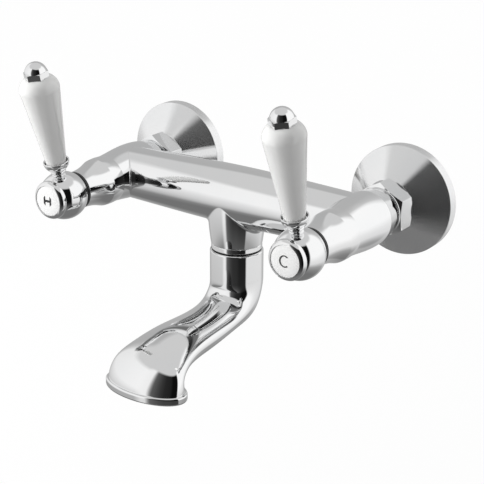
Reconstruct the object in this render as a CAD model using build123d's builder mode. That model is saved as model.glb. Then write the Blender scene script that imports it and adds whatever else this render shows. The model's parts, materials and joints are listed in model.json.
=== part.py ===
from build123d import *
from math import acos, asin, cos, degrees, radians, sin
import os

# Wall mixer tap for a bath: two wall inlets, a cross body, two quarter-turn
# lever valves and a swivel spout. Sizes are in millimetres.
# X runs along the body, Y points into the wall and Z is up. The origin is on
# the wall, midway between the inlets.
# "Out" is a distance from the wall, "along" a distance up a lever from the
# middle of its hub, and "down" a distance below the middle of the body.

# Plan of the tap
inlet_spacing = 150.0
lever_tilt = 13.5

# Clearances, roundings and the margin by which a cut runs past a surface
thread_clearance = 0.1
slip_clearance = 0.1
running_clearance = 0.05
face_clearance = 0.2
edge_round = 0.4
fine_round = 0.3
cut_margin = 1.0

# Wall roses
rose_radius = 30.0
rose_rim_depth = 6.0
rose_depth = 18.0
rose_front_radius = 14.3
rose_wall = 1.4

# Wall unions, with a half-inch pipe thread into the wall
pipe_thread_radius = 10.48
pipe_thread_length = 14.0
pipe_thread_lead = 0.9
union_thread_radius = 11.45
union_bore_radius = 6.6
union_hex_width = 25.0
union_hex_start = 3.0
union_hex_length = 7.0

# Union nuts, their washers and the inlet tails that they pull on
nut_width = 27.4
nut_length = 12.0
nut_lip = 1.8
nut_corner_cut = 1.3
nut_face_inset = 0.2
washer_thickness = 2.0
washer_bore_radius = 7.4
tail_flange_thickness = 2.0
tail_thread_radius = 9.5
tail_thread_length = 9.5
tail_key_width = 12.0

# Body
arm_rear_gap = 0.5
arm_rear_length = 19.5
arm_front_length = 19.3
arm_rear_radius = 12.7
arm_middle_radius = 14.8
arm_front_radius = 13.05
arm_rear_round = 1.6
bar_middle_radius = 16.1
bar_end_radius = 14.35
bar_end_slope = 0.026
bar_bore_radius = 10.4
bar_bore_end_gap = 16.0
bar_port_radius = 5.0
boss_depth = 26.4
boss_top_radius = 15.8
boss_waist_radius = 15.2
boss_waist_depth = 16.4
boss_bottom_radius = 14.0
boss_blend = 3.0
boss_edge_round = 0.6
seat_setback = 6.0
seat_thickness = 2.4
seat_bore_radius = 6.2

# Valve cartridges
valve_thread_radius = 10.0
seal_thickness = 2.2
seal_radius = 8.2
disc_thickness = 2.4
disc_radius = 7.6
port_ring_radius = 4.7
port_radius = 2.3
cage_radius = 8.7
cage_length = 10.3
cage_cone_length = 1.5
cage_front_wall = 1.0
window_width = 8.0
window_margin = 1.0
valve_hex_width = 21.0
valve_hex_length = 5.0
valve_hex_corner_radius = 11.5
valve_neck_radius = 8.0
valve_neck_setback = 2.8
valve_ring_setback = 1.5
valve_ring_section = 0.8
spindle_radius = 4.0
spindle_foot_radius = 7.2
spindle_foot_length = 2.6
spindle_ring_setback = 13.6
spindle_ring_gap = 4.0
spindle_ring_section = 0.5
spline_teeth = 20
spline_length = 9.0
spline_depth = 0.5
clip_radius = 5.6
clip_thickness = 0.8
clip_groove_depth = 0.6
clip_opening = 3.0

# Bonnet shields and the black glide rings in front of them
shield_drum_radius = 13.3
shield_crease_radius = 13.1
shield_drum_length = 8.2
shield_slope_radius = 11.75
shield_slope_length = 12.5
shield_nose_radius = 10.15
shield_length = 25.1
shield_cavity_length = 6.7
shield_throat_length = 15.2
glide_ring_inner_radius = 8.5
glide_ring_radius = 10.3
glide_ring_thickness = 1.5

# Lever hubs, index bezels and index discs
hub_radius = 13.0
hub_rear_length = 8.3
hub_front_length = 8.9
hub_recess_radius = 6.2
hub_web_setback = 2.2
hub_web_thickness = 2.4
screw_radius = 2.4
screw_head_radius = 3.9
screw_head_thickness = 2.2
screw_length = 12.0
screw_socket_width = 4.0
screw_socket_depth = 1.5
bezel_radius = 10.35
bezel_length = 3.9
bezel_flank_length = 1.1
bezel_crown_round = 2.8
bezel_rear_round = 0.6
bezel_floor = 0.4
bezel_spigot_length = 1.9
bezel_spigot_bore = 5.0
index_disc_radius = 8.1
index_disc_thickness = 1.7
index_disc_dome = 0.4

# Lever handles
cup_thread_radius = 2.6
cup_thread_length = 6.4
cup_foot_radius = 3.7
cup_foot_depth = 1.4
cup_foot_rise = 0.7
cup_foot_chamfer = 0.5
cup_waist_radius = 3.1
cup_bead_radius = 4.1
cup_bead_rise = 1.1
cup_bead_half = 0.8
cup_neck_radius = 3.2
cup_neck_rise = 1.0
cup_bowl_radius = 5.4
cup_bowl_rise = 1.2
cup_lip_radius = 6.95
cup_bowl_height = 5.0
cup_bowl_depth = 2.8
cup_wall = 0.7
handle_washer_thickness = 0.6
handle_foot_radius = 5.2
handle_foot_round = 0.6
handle_length = 50.9
handle_shoulder_radius = 10.5
handle_shoulder_height = 6.9
handle_crown_radius = 8.4
handle_crown_height = 1.5
handle_top_radius = 5.9
handle_rim_width = 1.5
stud_radius = 2.0
stud_grip = 8.5
stud_tip = 4.0
knob_radius = 5.9
knob_rise = 2.3
knob_hex_width = 11.5
knob_hex_height = 3.4
knob_hex_face_radius = 5.9
knob_hex_corner_cut = 0.4

# Spout joint under the body
nipple_thread_radius = 9.9
nipple_thread_length = 10.5
nipple_collar_radius = 13.9
nipple_collar_thickness = 2.8
nipple_spigot_radius = 10.1
nipple_spigot_length = 15.5
nipple_bore_radius = 6.8
spout_washer_radius = 13.3
spout_washer_thickness = 0.6
spout_ring_section = 0.9
spout_ring_first = 3.2
spout_ring_second = 12.6
spout_ring_slack = 0.1
grub_groove_depth = 9.0
grub_groove_radius = 8.9
grub_groove_width = 3.6
grub_screw_radius = 2.0
grub_screw_setback = 0.5
grub_tip_radius = 1.3
grub_tip_length = 1.2
grub_socket_width = 2.0
grub_socket_depth = 1.6

# Spout
spout_tube_radius = 14.6
spout_tube_length = 17.0
spout_wall = 2.3
spout_top_round = 1.0
elbow_lead = 2.0
elbow_radius = 16.5
elbow_turn = 84.0
bill_length = 55.4
turn_radius = 11.0
mouth_lip_thickness = 4.3
mouth_lip_overhang = 1.5
mouth_lip_round = 1.1
mouth_ledge = 0.2

# Half-width and half-height of the spout at its six named stations
elbow_half_width = 14.9
elbow_half_height = 12.0
throat_half_width = 14.4
throat_half_height = 9.2
bill_half_width = 15.7
bill_half_height = 9.2
brow_half_width = 19.6
brow_half_height = 8.7
nose_half_width = 21.9
nose_half_height = 9.0
mouth_half_width = 23.2
mouth_half_depth = 11.5

# Distances out from the wall that follow from the sizes above
nut_front_out = rose_depth + nut_length
tail_flange_out = nut_front_out - nut_lip
washer_out = tail_flange_out - tail_flange_thickness
union_front_out = washer_out - washer_thickness
arm_rear_out = nut_front_out + arm_rear_gap
body_out = arm_rear_out + arm_rear_length
arm_front_out = body_out + arm_front_length
seat_out = body_out - seat_setback
fixed_disc_out = seat_out + seal_thickness
moving_disc_out = fixed_disc_out + disc_thickness
spindle_foot_out = moving_disc_out + disc_thickness
cage_end_out = fixed_disc_out + cage_length
valve_ring_out = arm_front_out - valve_ring_setback
shield_nose_out = arm_front_out + shield_length
valve_neck_end_out = shield_nose_out - valve_neck_setback
spindle_ring_out = valve_neck_end_out - spindle_ring_setback
clip_out = valve_neck_end_out + face_clearance
hub_rear_out = shield_nose_out + glide_ring_thickness + face_clearance
hub_out = hub_rear_out + hub_rear_length
hub_front_out = hub_out + hub_front_length
hub_web_start_out = hub_out + hub_web_setback
hub_web_end_out = hub_web_start_out + hub_web_thickness
spindle_end_out = hub_web_start_out - face_clearance
bezel_front_out = hub_front_out + bezel_length

# Distances along the lever
cup_foot_start = hub_radius - cup_foot_depth
cup_thread_start = cup_foot_start - cup_thread_length
cup_waist_along = hub_radius + cup_foot_rise
cup_bead_along = cup_waist_along + cup_bead_rise
cup_neck_along = cup_bead_along + cup_neck_rise
cup_lip_along = cup_neck_along + cup_bowl_height
cup_floor_along = cup_lip_along - cup_bowl_depth
handle_foot_along = cup_floor_along + handle_washer_thickness
handle_top_along = handle_foot_along + handle_length
handle_shoulder_along = handle_top_along - handle_shoulder_height
knob_along = handle_top_along + knob_rise
stud_start = cup_floor_along - stud_grip
stud_end = handle_top_along + stud_tip

# Distances down from the middle of the body
spigot_down = boss_depth + nipple_collar_thickness
spigot_end_down = spigot_down + nipple_spigot_length
spout_top_down = spigot_down + spout_washer_thickness + face_clearance
elbow_down = spout_top_down + spout_tube_length
grub_groove_down = spigot_down + grub_groove_depth

# Radii that follow from the sizes above
shield_cavity_radius = valve_hex_corner_radius + face_clearance
index_recess_radius = index_disc_radius + slip_clearance
bezel_crown_middle = bezel_radius - bezel_crown_round
spigot_bore_radius = nipple_spigot_radius + running_clearance

parts_folder = "parts"
os.makedirs(parts_folder, exist_ok=True)


def arm_place(x):
    """Profile plane of an arm: local x is the radius and local y the distance out."""
    return Plane(origin=(x, 0, 0), x_dir=(1, 0, 0), z_dir=(0, 0, -1))


def cross_place(x, out):
    """Plane across an arm, facing the user, with local y up."""
    return Plane(origin=(x, -out, 0), x_dir=(1, 0, 0), z_dir=(0, -1, 0))


def lever_place(x):
    """Profile plane of a lever: local x is the radius and local y the distance along."""
    tilt = radians(lever_tilt)
    return Plane(origin=(x, -hub_out, 0), x_dir=(1, 0, 0), z_dir=(0, -cos(tilt), -sin(tilt)))


def spout_place():
    """Profile plane of the spout joint: local x is the radius and local y the distance down."""
    return Plane(origin=(0, -body_out, 0), x_dir=(1, 0, 0), z_dir=(0, 1, 0))


def turn(outline, place, rounds=(), mode=Mode.ADD):
    """Revolve an outline of (radius, distance) points about the place's own axis."""
    with BuildSketch(place) as profile:
        with BuildLine():
            Polyline(*outline, close=True)
        make_face()
        for corner, radius in rounds:
            fillet(profile.vertices().sort_by_distance(corner)[0], radius)
    revolve(profile.sketch, axis=Axis(place.origin, place.y_dir), mode=mode)


def tube(place, outer, inner, start, end, mode=Mode.ADD):
    """A plain ring or sleeve about the place's own axis."""
    turn([(inner, start), (outer, start), (outer, end), (inner, end)], place, mode=mode)


def rod(place, radius, start, end, mode=Mode.ADD):
    """A plain round bar about the place's own axis."""
    tube(place, radius, 0, start, end, mode)


def soft_ring(place, section, middle_radius, distance):
    """A rubber ring of round section."""
    with BuildSketch(place) as profile:
        with Locations((middle_radius, distance)):
            Circle(section)
    revolve(profile.sketch, axis=Axis(place.origin, place.y_dir))


def save(builder, label):
    """Name a finished piece and write its file."""
    builder.part.label = label
    export_step(builder.part, f"{parts_folder}/{label}.step")


def make_rose(side, x):
    """Hollow conical cover plate that hides the hole in the wall."""
    place = arm_place(x)
    with BuildPart() as rose:
        outside = [
            (0, 0),
            (rose_radius, 0),
            (rose_radius, rose_rim_depth),
            (rose_front_radius, rose_depth),
            (0, rose_depth),
        ]
        rounds = [
            ((rose_radius, 0), edge_round),
            ((rose_radius, rose_rim_depth), edge_round),
            ((rose_front_radius, rose_depth), edge_round),
        ]
        turn(outside, place, rounds)
        inside = [
            (0, 0),
            (rose_radius - rose_wall, 0),
            (rose_radius - rose_wall, rose_rim_depth - rose_wall / 2),
            (rose_front_radius - rose_wall, rose_depth - rose_wall),
            (0, rose_depth - rose_wall),
        ]
        turn(inside, place, mode=Mode.SUBTRACT)
        rod(place, union_thread_radius + slip_clearance, 0, rose_depth, Mode.SUBTRACT)
    save(rose, f"{side}_rose")


def make_wall_union(side, x):
    """Threaded connector between the pipe in the wall and the tap."""
    place = arm_place(x)
    with BuildPart() as union:
        outside = [
            (0, -pipe_thread_length),
            (pipe_thread_radius - pipe_thread_lead, -pipe_thread_length),
            (pipe_thread_radius, -pipe_thread_length + pipe_thread_lead),
            (pipe_thread_radius, union_hex_start),
            (union_thread_radius, union_hex_start),
            (union_thread_radius, union_front_out),
            (0, union_front_out),
        ]
        turn(outside, place, [((union_thread_radius, union_front_out), edge_round)])
        with BuildSketch(cross_place(x, union_hex_start)):
            RegularPolygon(union_hex_width / 2, 6, major_radius=False, rotation=30)
        extrude(amount=union_hex_length)
        rod(place, union_bore_radius, -pipe_thread_length, union_front_out, Mode.SUBTRACT)
    save(union, f"{side}_wall_union")


def make_union_nut(side, x):
    """Loose hexagon nut that pulls the tap against the wall union."""
    place = arm_place(x)
    face_radius = nut_width / 2 - nut_face_inset
    corner_radius = nut_width / 2 / cos(radians(30))
    with BuildPart() as nut:
        with BuildSketch(cross_place(x, rose_depth)):
            RegularPolygon(nut_width / 2, 6, major_radius=False, rotation=30)
        extrude(amount=nut_length)
        turned = [
            (0, rose_depth),
            (face_radius, rose_depth),
            (corner_radius, rose_depth + nut_corner_cut),
            (corner_radius, nut_front_out - nut_corner_cut),
            (face_radius, nut_front_out),
            (0, nut_front_out),
        ]
        turn(turned, place, mode=Mode.INTERSECT)
        rod(place, union_thread_radius + thread_clearance, rose_depth, tail_flange_out, Mode.SUBTRACT)
        rod(place, tail_thread_radius + slip_clearance, tail_flange_out, nut_front_out, Mode.SUBTRACT)
    save(nut, f"{side}_union_nut")


def make_union_washer(side, x):
    """Flat rubber washer between the wall union and the inlet tail."""
    with BuildPart() as washer:
        outer = union_thread_radius - slip_clearance
        tube(arm_place(x), outer, washer_bore_radius, union_front_out, washer_out)
    save(washer, f"{side}_union_washer")


def make_inlet_tail(side, x):
    """Flanged nipple that screws into the back of the body and holds the nut."""
    place = arm_place(x)
    flange_radius = union_thread_radius - slip_clearance
    with BuildPart() as tail:
        rod(place, flange_radius, washer_out, tail_flange_out)
        rod(place, tail_thread_radius, tail_flange_out, arm_rear_out + tail_thread_length)
        with BuildSketch(cross_place(x, washer_out)):
            RegularPolygon(tail_key_width / 2, 6, major_radius=False, rotation=30)
        extrude(amount=arm_rear_out + tail_thread_length - washer_out, mode=Mode.SUBTRACT)
    save(tail, f"{side}_inlet_tail")


def arm_outside(x):
    """Bulb-shaped outside of one arm, added to the body being built."""
    with BuildSketch(arm_place(x)) as profile:
        with BuildLine():
            bulb = Spline(
                (arm_rear_radius, arm_rear_out),
                (arm_middle_radius, body_out),
                (arm_front_radius, arm_front_out),
                tangents=[(0.28, 1), (-0.05, 1)],
            )
            Polyline(bulb @ 1, (0, arm_front_out), (0, arm_rear_out), bulb @ 0)
        make_face()
        rear_corner = (arm_rear_radius, arm_rear_out)
        fillet(profile.vertices().sort_by_distance(rear_corner)[0], arm_rear_round)
    revolve(profile.sketch, axis=Axis((x, 0, 0), (0, -1, 0)))


def arm_inside(x):
    """Inlet thread, valve seat and valve chamber of one arm, cut from the body."""
    place = arm_place(x)
    seat_back_out = seat_out - seat_thickness
    rod(place, tail_thread_radius + thread_clearance, arm_rear_out, seat_back_out, Mode.SUBTRACT)
    rod(place, seat_bore_radius, seat_back_out, seat_out, Mode.SUBTRACT)
    rod(place, valve_thread_radius + thread_clearance, seat_out, arm_front_out, Mode.SUBTRACT)


def bore_line(radius, length):
    """Straight waterway along the middle of the bar, cut from the body."""
    with BuildSketch(Plane.YZ.offset(-length / 2)) as section:
        with Locations((-body_out, 0)):
            Circle(radius)
    extrude(section.sketch, amount=length, mode=Mode.SUBTRACT)


def make_body():
    """Hollow cast body: two arms, the bar between them and the spout boss."""
    half = inlet_spacing / 2
    down_place = spout_place()
    bar_axis = Axis((0, -body_out, 0), (1, 0, 0))
    with BuildPart() as body:
        with BuildSketch(Plane(origin=(0, -body_out, 0), x_dir=(1, 0, 0), z_dir=(0, -1, 0))) as bar:
            with BuildLine():
                swell = Spline(
                    (-half, bar_end_radius),
                    (0, bar_middle_radius),
                    (half, bar_end_radius),
                    tangents=[(1, bar_end_slope), (1, -bar_end_slope)],
                )
                Polyline(swell @ 1, (half, 0), (-half, 0), swell @ 0)
            make_face()
        revolve(axis=bar_axis)
        with BuildSketch(down_place):
            with BuildLine():
                side_line = ThreePointArc(
                    (boss_top_radius, 0),
                    (boss_waist_radius, boss_waist_depth),
                    (boss_bottom_radius, boss_depth),
                )
                Polyline(side_line @ 1, (0, boss_depth), (0, 0), side_line @ 0)
            make_face()
        revolve(axis=Axis(down_place.origin, down_place.y_dir))
        lowest = body.edges().sort_by(Axis.Z)[0]
        fillet(lowest, boss_edge_round)
        blend_edges = body.edges().filter_by(
            lambda edge: -bar_middle_radius < edge.center().Z < -0.3 * bar_middle_radius
            and abs(edge.center().X) < boss_top_radius
            and edge.bounding_box().size.Z > cut_margin
        )
        fillet(blend_edges, boss_blend)
        for x in (-half, half):
            arm_outside(x)
        bore_line(bar_bore_radius, inlet_spacing - 2 * bar_bore_end_gap)
        bore_line(bar_port_radius, inlet_spacing)
        for x in (-half, half):
            arm_inside(x)
        rod(down_place, nipple_thread_radius + thread_clearance, 0, boss_depth, Mode.SUBTRACT)
    save(body, "mixer_body")


def make_valve_body(side, x):
    """Brass housing of the quarter-turn valve, screwed into the front of an arm."""
    place = arm_place(x)
    cage_bore_radius = disc_radius + slip_clearance
    hex_end_out = arm_front_out + valve_hex_length
    with BuildPart() as valve:
        outside = [
            (0, fixed_disc_out),
            (cage_radius, fixed_disc_out),
            (cage_radius, cage_end_out),
            (valve_thread_radius, cage_end_out + cage_cone_length),
            (valve_thread_radius, arm_front_out),
            (0, arm_front_out),
        ]
        turn(outside, place)
        with BuildSketch(cross_place(x, arm_front_out)):
            Circle(valve_hex_corner_radius)
            RegularPolygon(valve_hex_width / 2, 6, major_radius=False, mode=Mode.INTERSECT)
        extrude(amount=valve_hex_length)
        rod(place, valve_neck_radius, hex_end_out, valve_neck_end_out)
        rod(place, cage_bore_radius, fixed_disc_out, cage_end_out - cage_front_wall, Mode.SUBTRACT)
        shaft_bore_radius = spindle_radius + running_clearance
        rod(place, shaft_bore_radius, cage_end_out - cage_front_wall, valve_neck_end_out, Mode.SUBTRACT)
        groove_floor = valve_thread_radius - 2 * valve_ring_section
        groove_half = valve_ring_section + face_clearance
        tube(
            place,
            valve_thread_radius + thread_clearance,
            groove_floor,
            valve_ring_out - groove_half,
            valve_ring_out + groove_half,
            Mode.SUBTRACT,
        )
        window_middle_out = (moving_disc_out + cage_end_out) / 2
        window_length = cage_end_out - moving_disc_out - 2 * window_margin
        with BuildSketch(Plane.YZ.offset(x - cage_radius - cut_margin)):
            with Locations((-window_middle_out, 0)):
                Rectangle(window_length, window_width)
        extrude(amount=2 * (cage_radius + cut_margin), mode=Mode.SUBTRACT)
    save(valve, f"{side}_valve_body")


def make_valve_seal(side, x):
    """Rubber ring that seals the cartridge against the seat in the arm."""
    with BuildPart() as seal:
        tube(arm_place(x), seal_radius, seat_bore_radius, seat_out, fixed_disc_out)
    save(seal, f"{side}_valve_seal")


def make_ceramic_disc(side, x, name, start_out, thickness, radius, turned):
    """Ceramic control disc with two opposite ports."""
    with BuildPart() as disc:
        with BuildSketch(cross_place(x, start_out)):
            Circle(radius)
        extrude(amount=thickness)
        with BuildSketch(cross_place(x, start_out)):
            with PolarLocations(port_ring_radius, 2, start_angle=turned):
                Circle(port_radius)
        extrude(amount=thickness, mode=Mode.SUBTRACT)
    save(disc, f"{side}_{name}")


def make_valve_ring(side, x):
    """Rubber ring between the cartridge and the arm."""
    with BuildPart() as ring:
        middle_radius = valve_thread_radius - valve_ring_section
        soft_ring(arm_place(x), valve_ring_section, middle_radius, valve_ring_out)
    save(ring, f"{side}_valve_o_ring")


def make_shield(side, x):
    """Bell-shaped cover over the cartridge."""
    place = arm_place(x)
    with BuildPart() as shield:
        with BuildSketch(place) as profile:
            with BuildLine():
                drum = ThreePointArc(
                    (arm_front_radius, arm_front_out),
                    (shield_drum_radius, arm_front_out + shield_drum_length / 2),
                    (shield_crease_radius, arm_front_out + shield_drum_length),
                )
                narrowing = shield_slope_radius - shield_crease_radius
                bell = Spline(
                    drum @ 1,
                    (shield_slope_radius, arm_front_out + shield_slope_length),
                    (shield_nose_radius, shield_nose_out),
                    tangents=[(narrowing, shield_slope_length - shield_drum_length), (0, 1)],
                )
                Polyline(bell @ 1, (0, shield_nose_out), (0, arm_front_out), drum @ 0)
            make_face()
            nose_corner = (shield_nose_radius, shield_nose_out)
            fillet(profile.vertices().sort_by_distance(nose_corner)[0], fine_round)
        revolve(axis=Axis(place.origin, place.y_dir))
        inside = [
            (0, arm_front_out),
            (shield_cavity_radius, arm_front_out),
            (shield_cavity_radius, arm_front_out + shield_cavity_length),
            (valve_neck_radius + thread_clearance, arm_front_out + shield_throat_length),
            (valve_neck_radius + thread_clearance, shield_nose_out),
            (0, shield_nose_out),
        ]
        turn(inside, place, mode=Mode.SUBTRACT)
    save(shield, f"{side}_bonnet_shield")


def make_glide_ring(side, x):
    """Black plastic ring that the hub turns against."""
    with BuildPart() as ring:
        end_out = shield_nose_out + glide_ring_thickness
        tube(arm_place(x), glide_ring_radius, glide_ring_inner_radius, shield_nose_out, end_out)
    save(ring, f"{side}_glide_ring")


def make_spindle(side, x):
    """Valve spindle: it turns the moving disc and carries the hub on its spline."""
    place = arm_place(x)
    ring_floor_radius = spindle_radius - 2 * spindle_ring_section
    groove_half = spindle_ring_section + slip_clearance
    with BuildPart() as spindle:
        rod(place, spindle_foot_radius, spindle_foot_out, spindle_foot_out + spindle_foot_length)
        rod(place, spindle_radius, spindle_foot_out + spindle_foot_length, spindle_end_out)
        for ring_out in (spindle_ring_out, spindle_ring_out + spindle_ring_gap):
            start, end = ring_out - groove_half, ring_out + groove_half
            tube(place, spindle_radius + cut_margin, ring_floor_radius, start, end, Mode.SUBTRACT)
        clip_start = clip_out - running_clearance
        clip_end = clip_out + clip_thickness + running_clearance
        clip_floor_radius = spindle_radius - clip_groove_depth
        tube(place, spindle_radius + cut_margin, clip_floor_radius, clip_start, clip_end, Mode.SUBTRACT)
        hole_start = spindle_end_out - screw_length
        rod(place, screw_radius + thread_clearance, hole_start, spindle_end_out, Mode.SUBTRACT)
        with BuildSketch(cross_place(x, spindle_end_out - spline_length)):
            with PolarLocations(spindle_radius, spline_teeth):
                Rectangle(2 * spline_depth, spline_depth, rotation=45)
        extrude(amount=spline_length, mode=Mode.SUBTRACT)
    save(spindle, f"{side}_spindle")


def make_spindle_rings(side, x):
    """Two rubber rings in the grooves of the spindle."""
    with BuildPart() as rings:
        middle_radius = spindle_radius - spindle_ring_section
        for ring_out in (spindle_ring_out, spindle_ring_out + spindle_ring_gap):
            soft_ring(arm_place(x), spindle_ring_section, middle_radius, ring_out)
    save(rings, f"{side}_spindle_o_rings")


def make_spindle_clip(side, x):
    """Open spring ring that keeps the spindle in the cartridge."""
    place = arm_place(x)
    with BuildPart() as clip:
        tube(place, clip_radius, spindle_radius - clip_groove_depth, clip_out, clip_out + clip_thickness)
        with BuildSketch(cross_place(x, clip_out)):
            with Locations((0, clip_radius)):
                Rectangle(clip_opening, clip_radius)
        extrude(amount=clip_thickness, mode=Mode.SUBTRACT)
    save(clip, f"{side}_spindle_clip")


def make_hub(side, x):
    """Ball-shaped lever hub, bored for the spindle, its screw and the lever."""
    place = arm_place(x)
    with BuildPart() as hub:
        with Locations((x, -hub_out, 0)):
            Sphere(hub_radius)
        rod(place, hub_radius + cut_margin, hub_rear_out, hub_front_out, Mode.INTERSECT)
        rod(place, spindle_radius + slip_clearance, hub_rear_out, hub_web_start_out, Mode.SUBTRACT)
        rod(place, screw_radius + slip_clearance, hub_web_start_out, hub_web_end_out, Mode.SUBTRACT)
        rod(place, hub_recess_radius, hub_web_end_out, hub_front_out, Mode.SUBTRACT)
        thread_bore_radius = cup_thread_radius + thread_clearance
        rod(lever_place(x), thread_bore_radius, cup_thread_start, hub_radius + cut_margin, Mode.SUBTRACT)
        foot_bore_radius = cup_foot_radius + slip_clearance
        rod(lever_place(x), foot_bore_radius, cup_foot_start, hub_radius + cut_margin, Mode.SUBTRACT)
    save(hub, f"{side}_lever_hub")


def make_handle_screw(side, x):
    """Socket screw that holds the hub on the spindle."""
    place = arm_place(x)
    head_end_out = hub_web_end_out + screw_head_thickness
    with BuildPart() as screw:
        rod(place, screw_radius, hub_web_end_out - screw_length, hub_web_end_out)
        rod(place, screw_head_radius, hub_web_end_out, head_end_out)
        with BuildSketch(cross_place(x, head_end_out)):
            RegularPolygon(screw_socket_width / 2, 6, major_radius=False)
        extrude(amount=-screw_socket_depth, mode=Mode.SUBTRACT)
    save(screw, f"{side}_handle_screw")


def make_index_bezel(side, x):
    """Chrome ring that frames the index disc and plugs into the hub."""
    place = arm_place(x)
    recess_out = bezel_front_out - index_disc_thickness - index_disc_dome
    spigot_radius = hub_recess_radius - running_clearance
    with BuildPart() as bezel:
        with BuildSketch(place) as profile:
            with BuildLine():
                crown = CenterArc(
                    (bezel_crown_middle, hub_front_out + bezel_flank_length),
                    bezel_crown_round,
                    0,
                    degrees(acos((index_recess_radius - bezel_crown_middle) / bezel_crown_round)),
                )
                Polyline(
                    crown @ 1,
                    (index_recess_radius, recess_out),
                    (0, recess_out),
                    (0, hub_front_out + bezel_floor),
                    (bezel_spigot_bore, hub_front_out + bezel_floor),
                    (bezel_spigot_bore, hub_front_out - bezel_spigot_length),
                    (spigot_radius, hub_front_out - bezel_spigot_length),
                    (spigot_radius, hub_front_out),
                    (bezel_radius, hub_front_out),
                    crown @ 0,
                )
            make_face()
            rear_corner = (bezel_radius, hub_front_out)
            fillet(profile.vertices().sort_by_distance(rear_corner)[0], bezel_rear_round)
        revolve(axis=Axis(place.origin, place.y_dir))
    save(bezel, f"{side}_index_bezel")


def make_index_disc(side, x):
    """White glazed disc that tells hot from cold."""
    place = arm_place(x)
    back_out = bezel_front_out - index_disc_thickness - index_disc_dome
    edge_out = back_out + index_disc_thickness
    with BuildPart() as disc:
        with BuildSketch(place):
            with BuildLine():
                dome = Spline(
                    (index_disc_radius, edge_out),
                    (0, edge_out + index_disc_dome),
                    tangents=[(-1, 0.2), (-1, 0)],
                )
                Polyline(dome @ 1, (0, back_out), (index_disc_radius, back_out), dome @ 0)
            make_face()
        revolve(axis=Axis(place.origin, place.y_dir))
    save(disc, f"{side}_index_disc")


def make_lever_cup(side, x):
    """Turned foot of the lever: thread, bead and the cup that holds the ceramic."""
    place = lever_place(x)
    with BuildPart() as cup:
        with BuildSketch(place) as profile:
            with BuildLine():
                foot = Polyline(
                    (0, cup_thread_start),
                    (cup_thread_radius, cup_thread_start),
                    (cup_thread_radius, cup_foot_start),
                    (cup_foot_radius, cup_foot_start),
                    (cup_foot_radius, cup_waist_along - cup_foot_chamfer),
                    (cup_waist_radius, cup_waist_along),
                    (cup_waist_radius, cup_bead_along - cup_bead_half),
                )
                bead = ThreePointArc(
                    foot @ 1,
                    (cup_bead_radius, cup_bead_along),
                    (cup_neck_radius, cup_bead_along + cup_bead_half),
                )
                neck = Line(bead @ 1, (cup_neck_radius, cup_neck_along))
                bowl = Spline(
                    neck @ 1,
                    (cup_bowl_radius, cup_neck_along + cup_bowl_rise),
                    (cup_lip_radius, cup_lip_along),
                    tangents=[(1, 0.15), (0, 1)],
                )
                lip = ThreePointArc(
                    bowl @ 1,
                    (cup_lip_radius - cup_wall / 2, cup_lip_along + cup_wall / 2),
                    (cup_lip_radius - cup_wall, cup_lip_along),
                )
                Polyline(
                    lip @ 1,
                    (handle_foot_radius + slip_clearance, cup_floor_along),
                    (0, cup_floor_along),
                    foot @ 0,
                )
            make_face()
            foot_corner = (cup_foot_radius, cup_waist_along - cup_foot_chamfer)
            fillet(profile.vertices().sort_by_distance(foot_corner)[0], edge_round)
        revolve(axis=Axis(place.origin, place.y_dir))
        bore_radius = stud_radius + thread_clearance
        rod(place, bore_radius, stud_start, cup_floor_along, Mode.SUBTRACT)
    save(cup, f"{side}_lever_cup")


def make_lever_washers(side, x):
    """Thin nylon washers under the foot and under the top of the ceramic."""
    place = lever_place(x)
    top_start = handle_top_along - handle_washer_thickness
    with BuildPart() as washers:
        bore_radius = stud_radius + slip_clearance
        foot_washer_radius = handle_foot_radius - handle_foot_round
        tube(place, foot_washer_radius, bore_radius, cup_floor_along, handle_foot_along)
        top_washer_radius = handle_top_radius - handle_rim_width
        tube(place, top_washer_radius, bore_radius, top_start, handle_top_along)
    save(washers, f"{side}_lever_washers")


def make_lever_handle(side, x):
    """Tapered white ceramic handle with a round shoulder."""
    place = lever_place(x)
    bore_radius = stud_radius + 2 * slip_clearance
    with BuildPart() as handle:
        with BuildSketch(place) as profile:
            with BuildLine():
                flank = Line(
                    (handle_foot_radius, handle_foot_along),
                    (handle_shoulder_radius, handle_shoulder_along),
                )
                shoulder = Spline(
                    flank @ 1,
                    (handle_crown_radius, handle_top_along - handle_crown_height),
                    (handle_top_radius, handle_top_along),
                    tangents=[flank % 1, (-1, 0.15)],
                )
                Polyline(
                    shoulder @ 1,
                    (bore_radius, handle_top_along),
                    (bore_radius, handle_foot_along),
                    flank @ 0,
                )
            make_face()
            foot_corner = (handle_foot_radius, handle_foot_along)
            fillet(profile.vertices().sort_by_distance(foot_corner)[0], handle_foot_round)
        revolve(axis=Axis(place.origin, place.y_dir))
        pocket_start = handle_top_along - handle_washer_thickness
        pocket_radius = handle_top_radius - handle_rim_width + slip_clearance
        rod(place, pocket_radius, pocket_start, handle_top_along, Mode.SUBTRACT)
    save(handle, f"{side}_lever_handle")


def make_lever_stud(side, x):
    """Steel rod that ties the cup, the ceramic and the knob together."""
    with BuildPart() as stud:
        rod(lever_place(x), stud_radius, stud_start, stud_end)
    save(stud, f"{side}_lever_stud")


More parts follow.
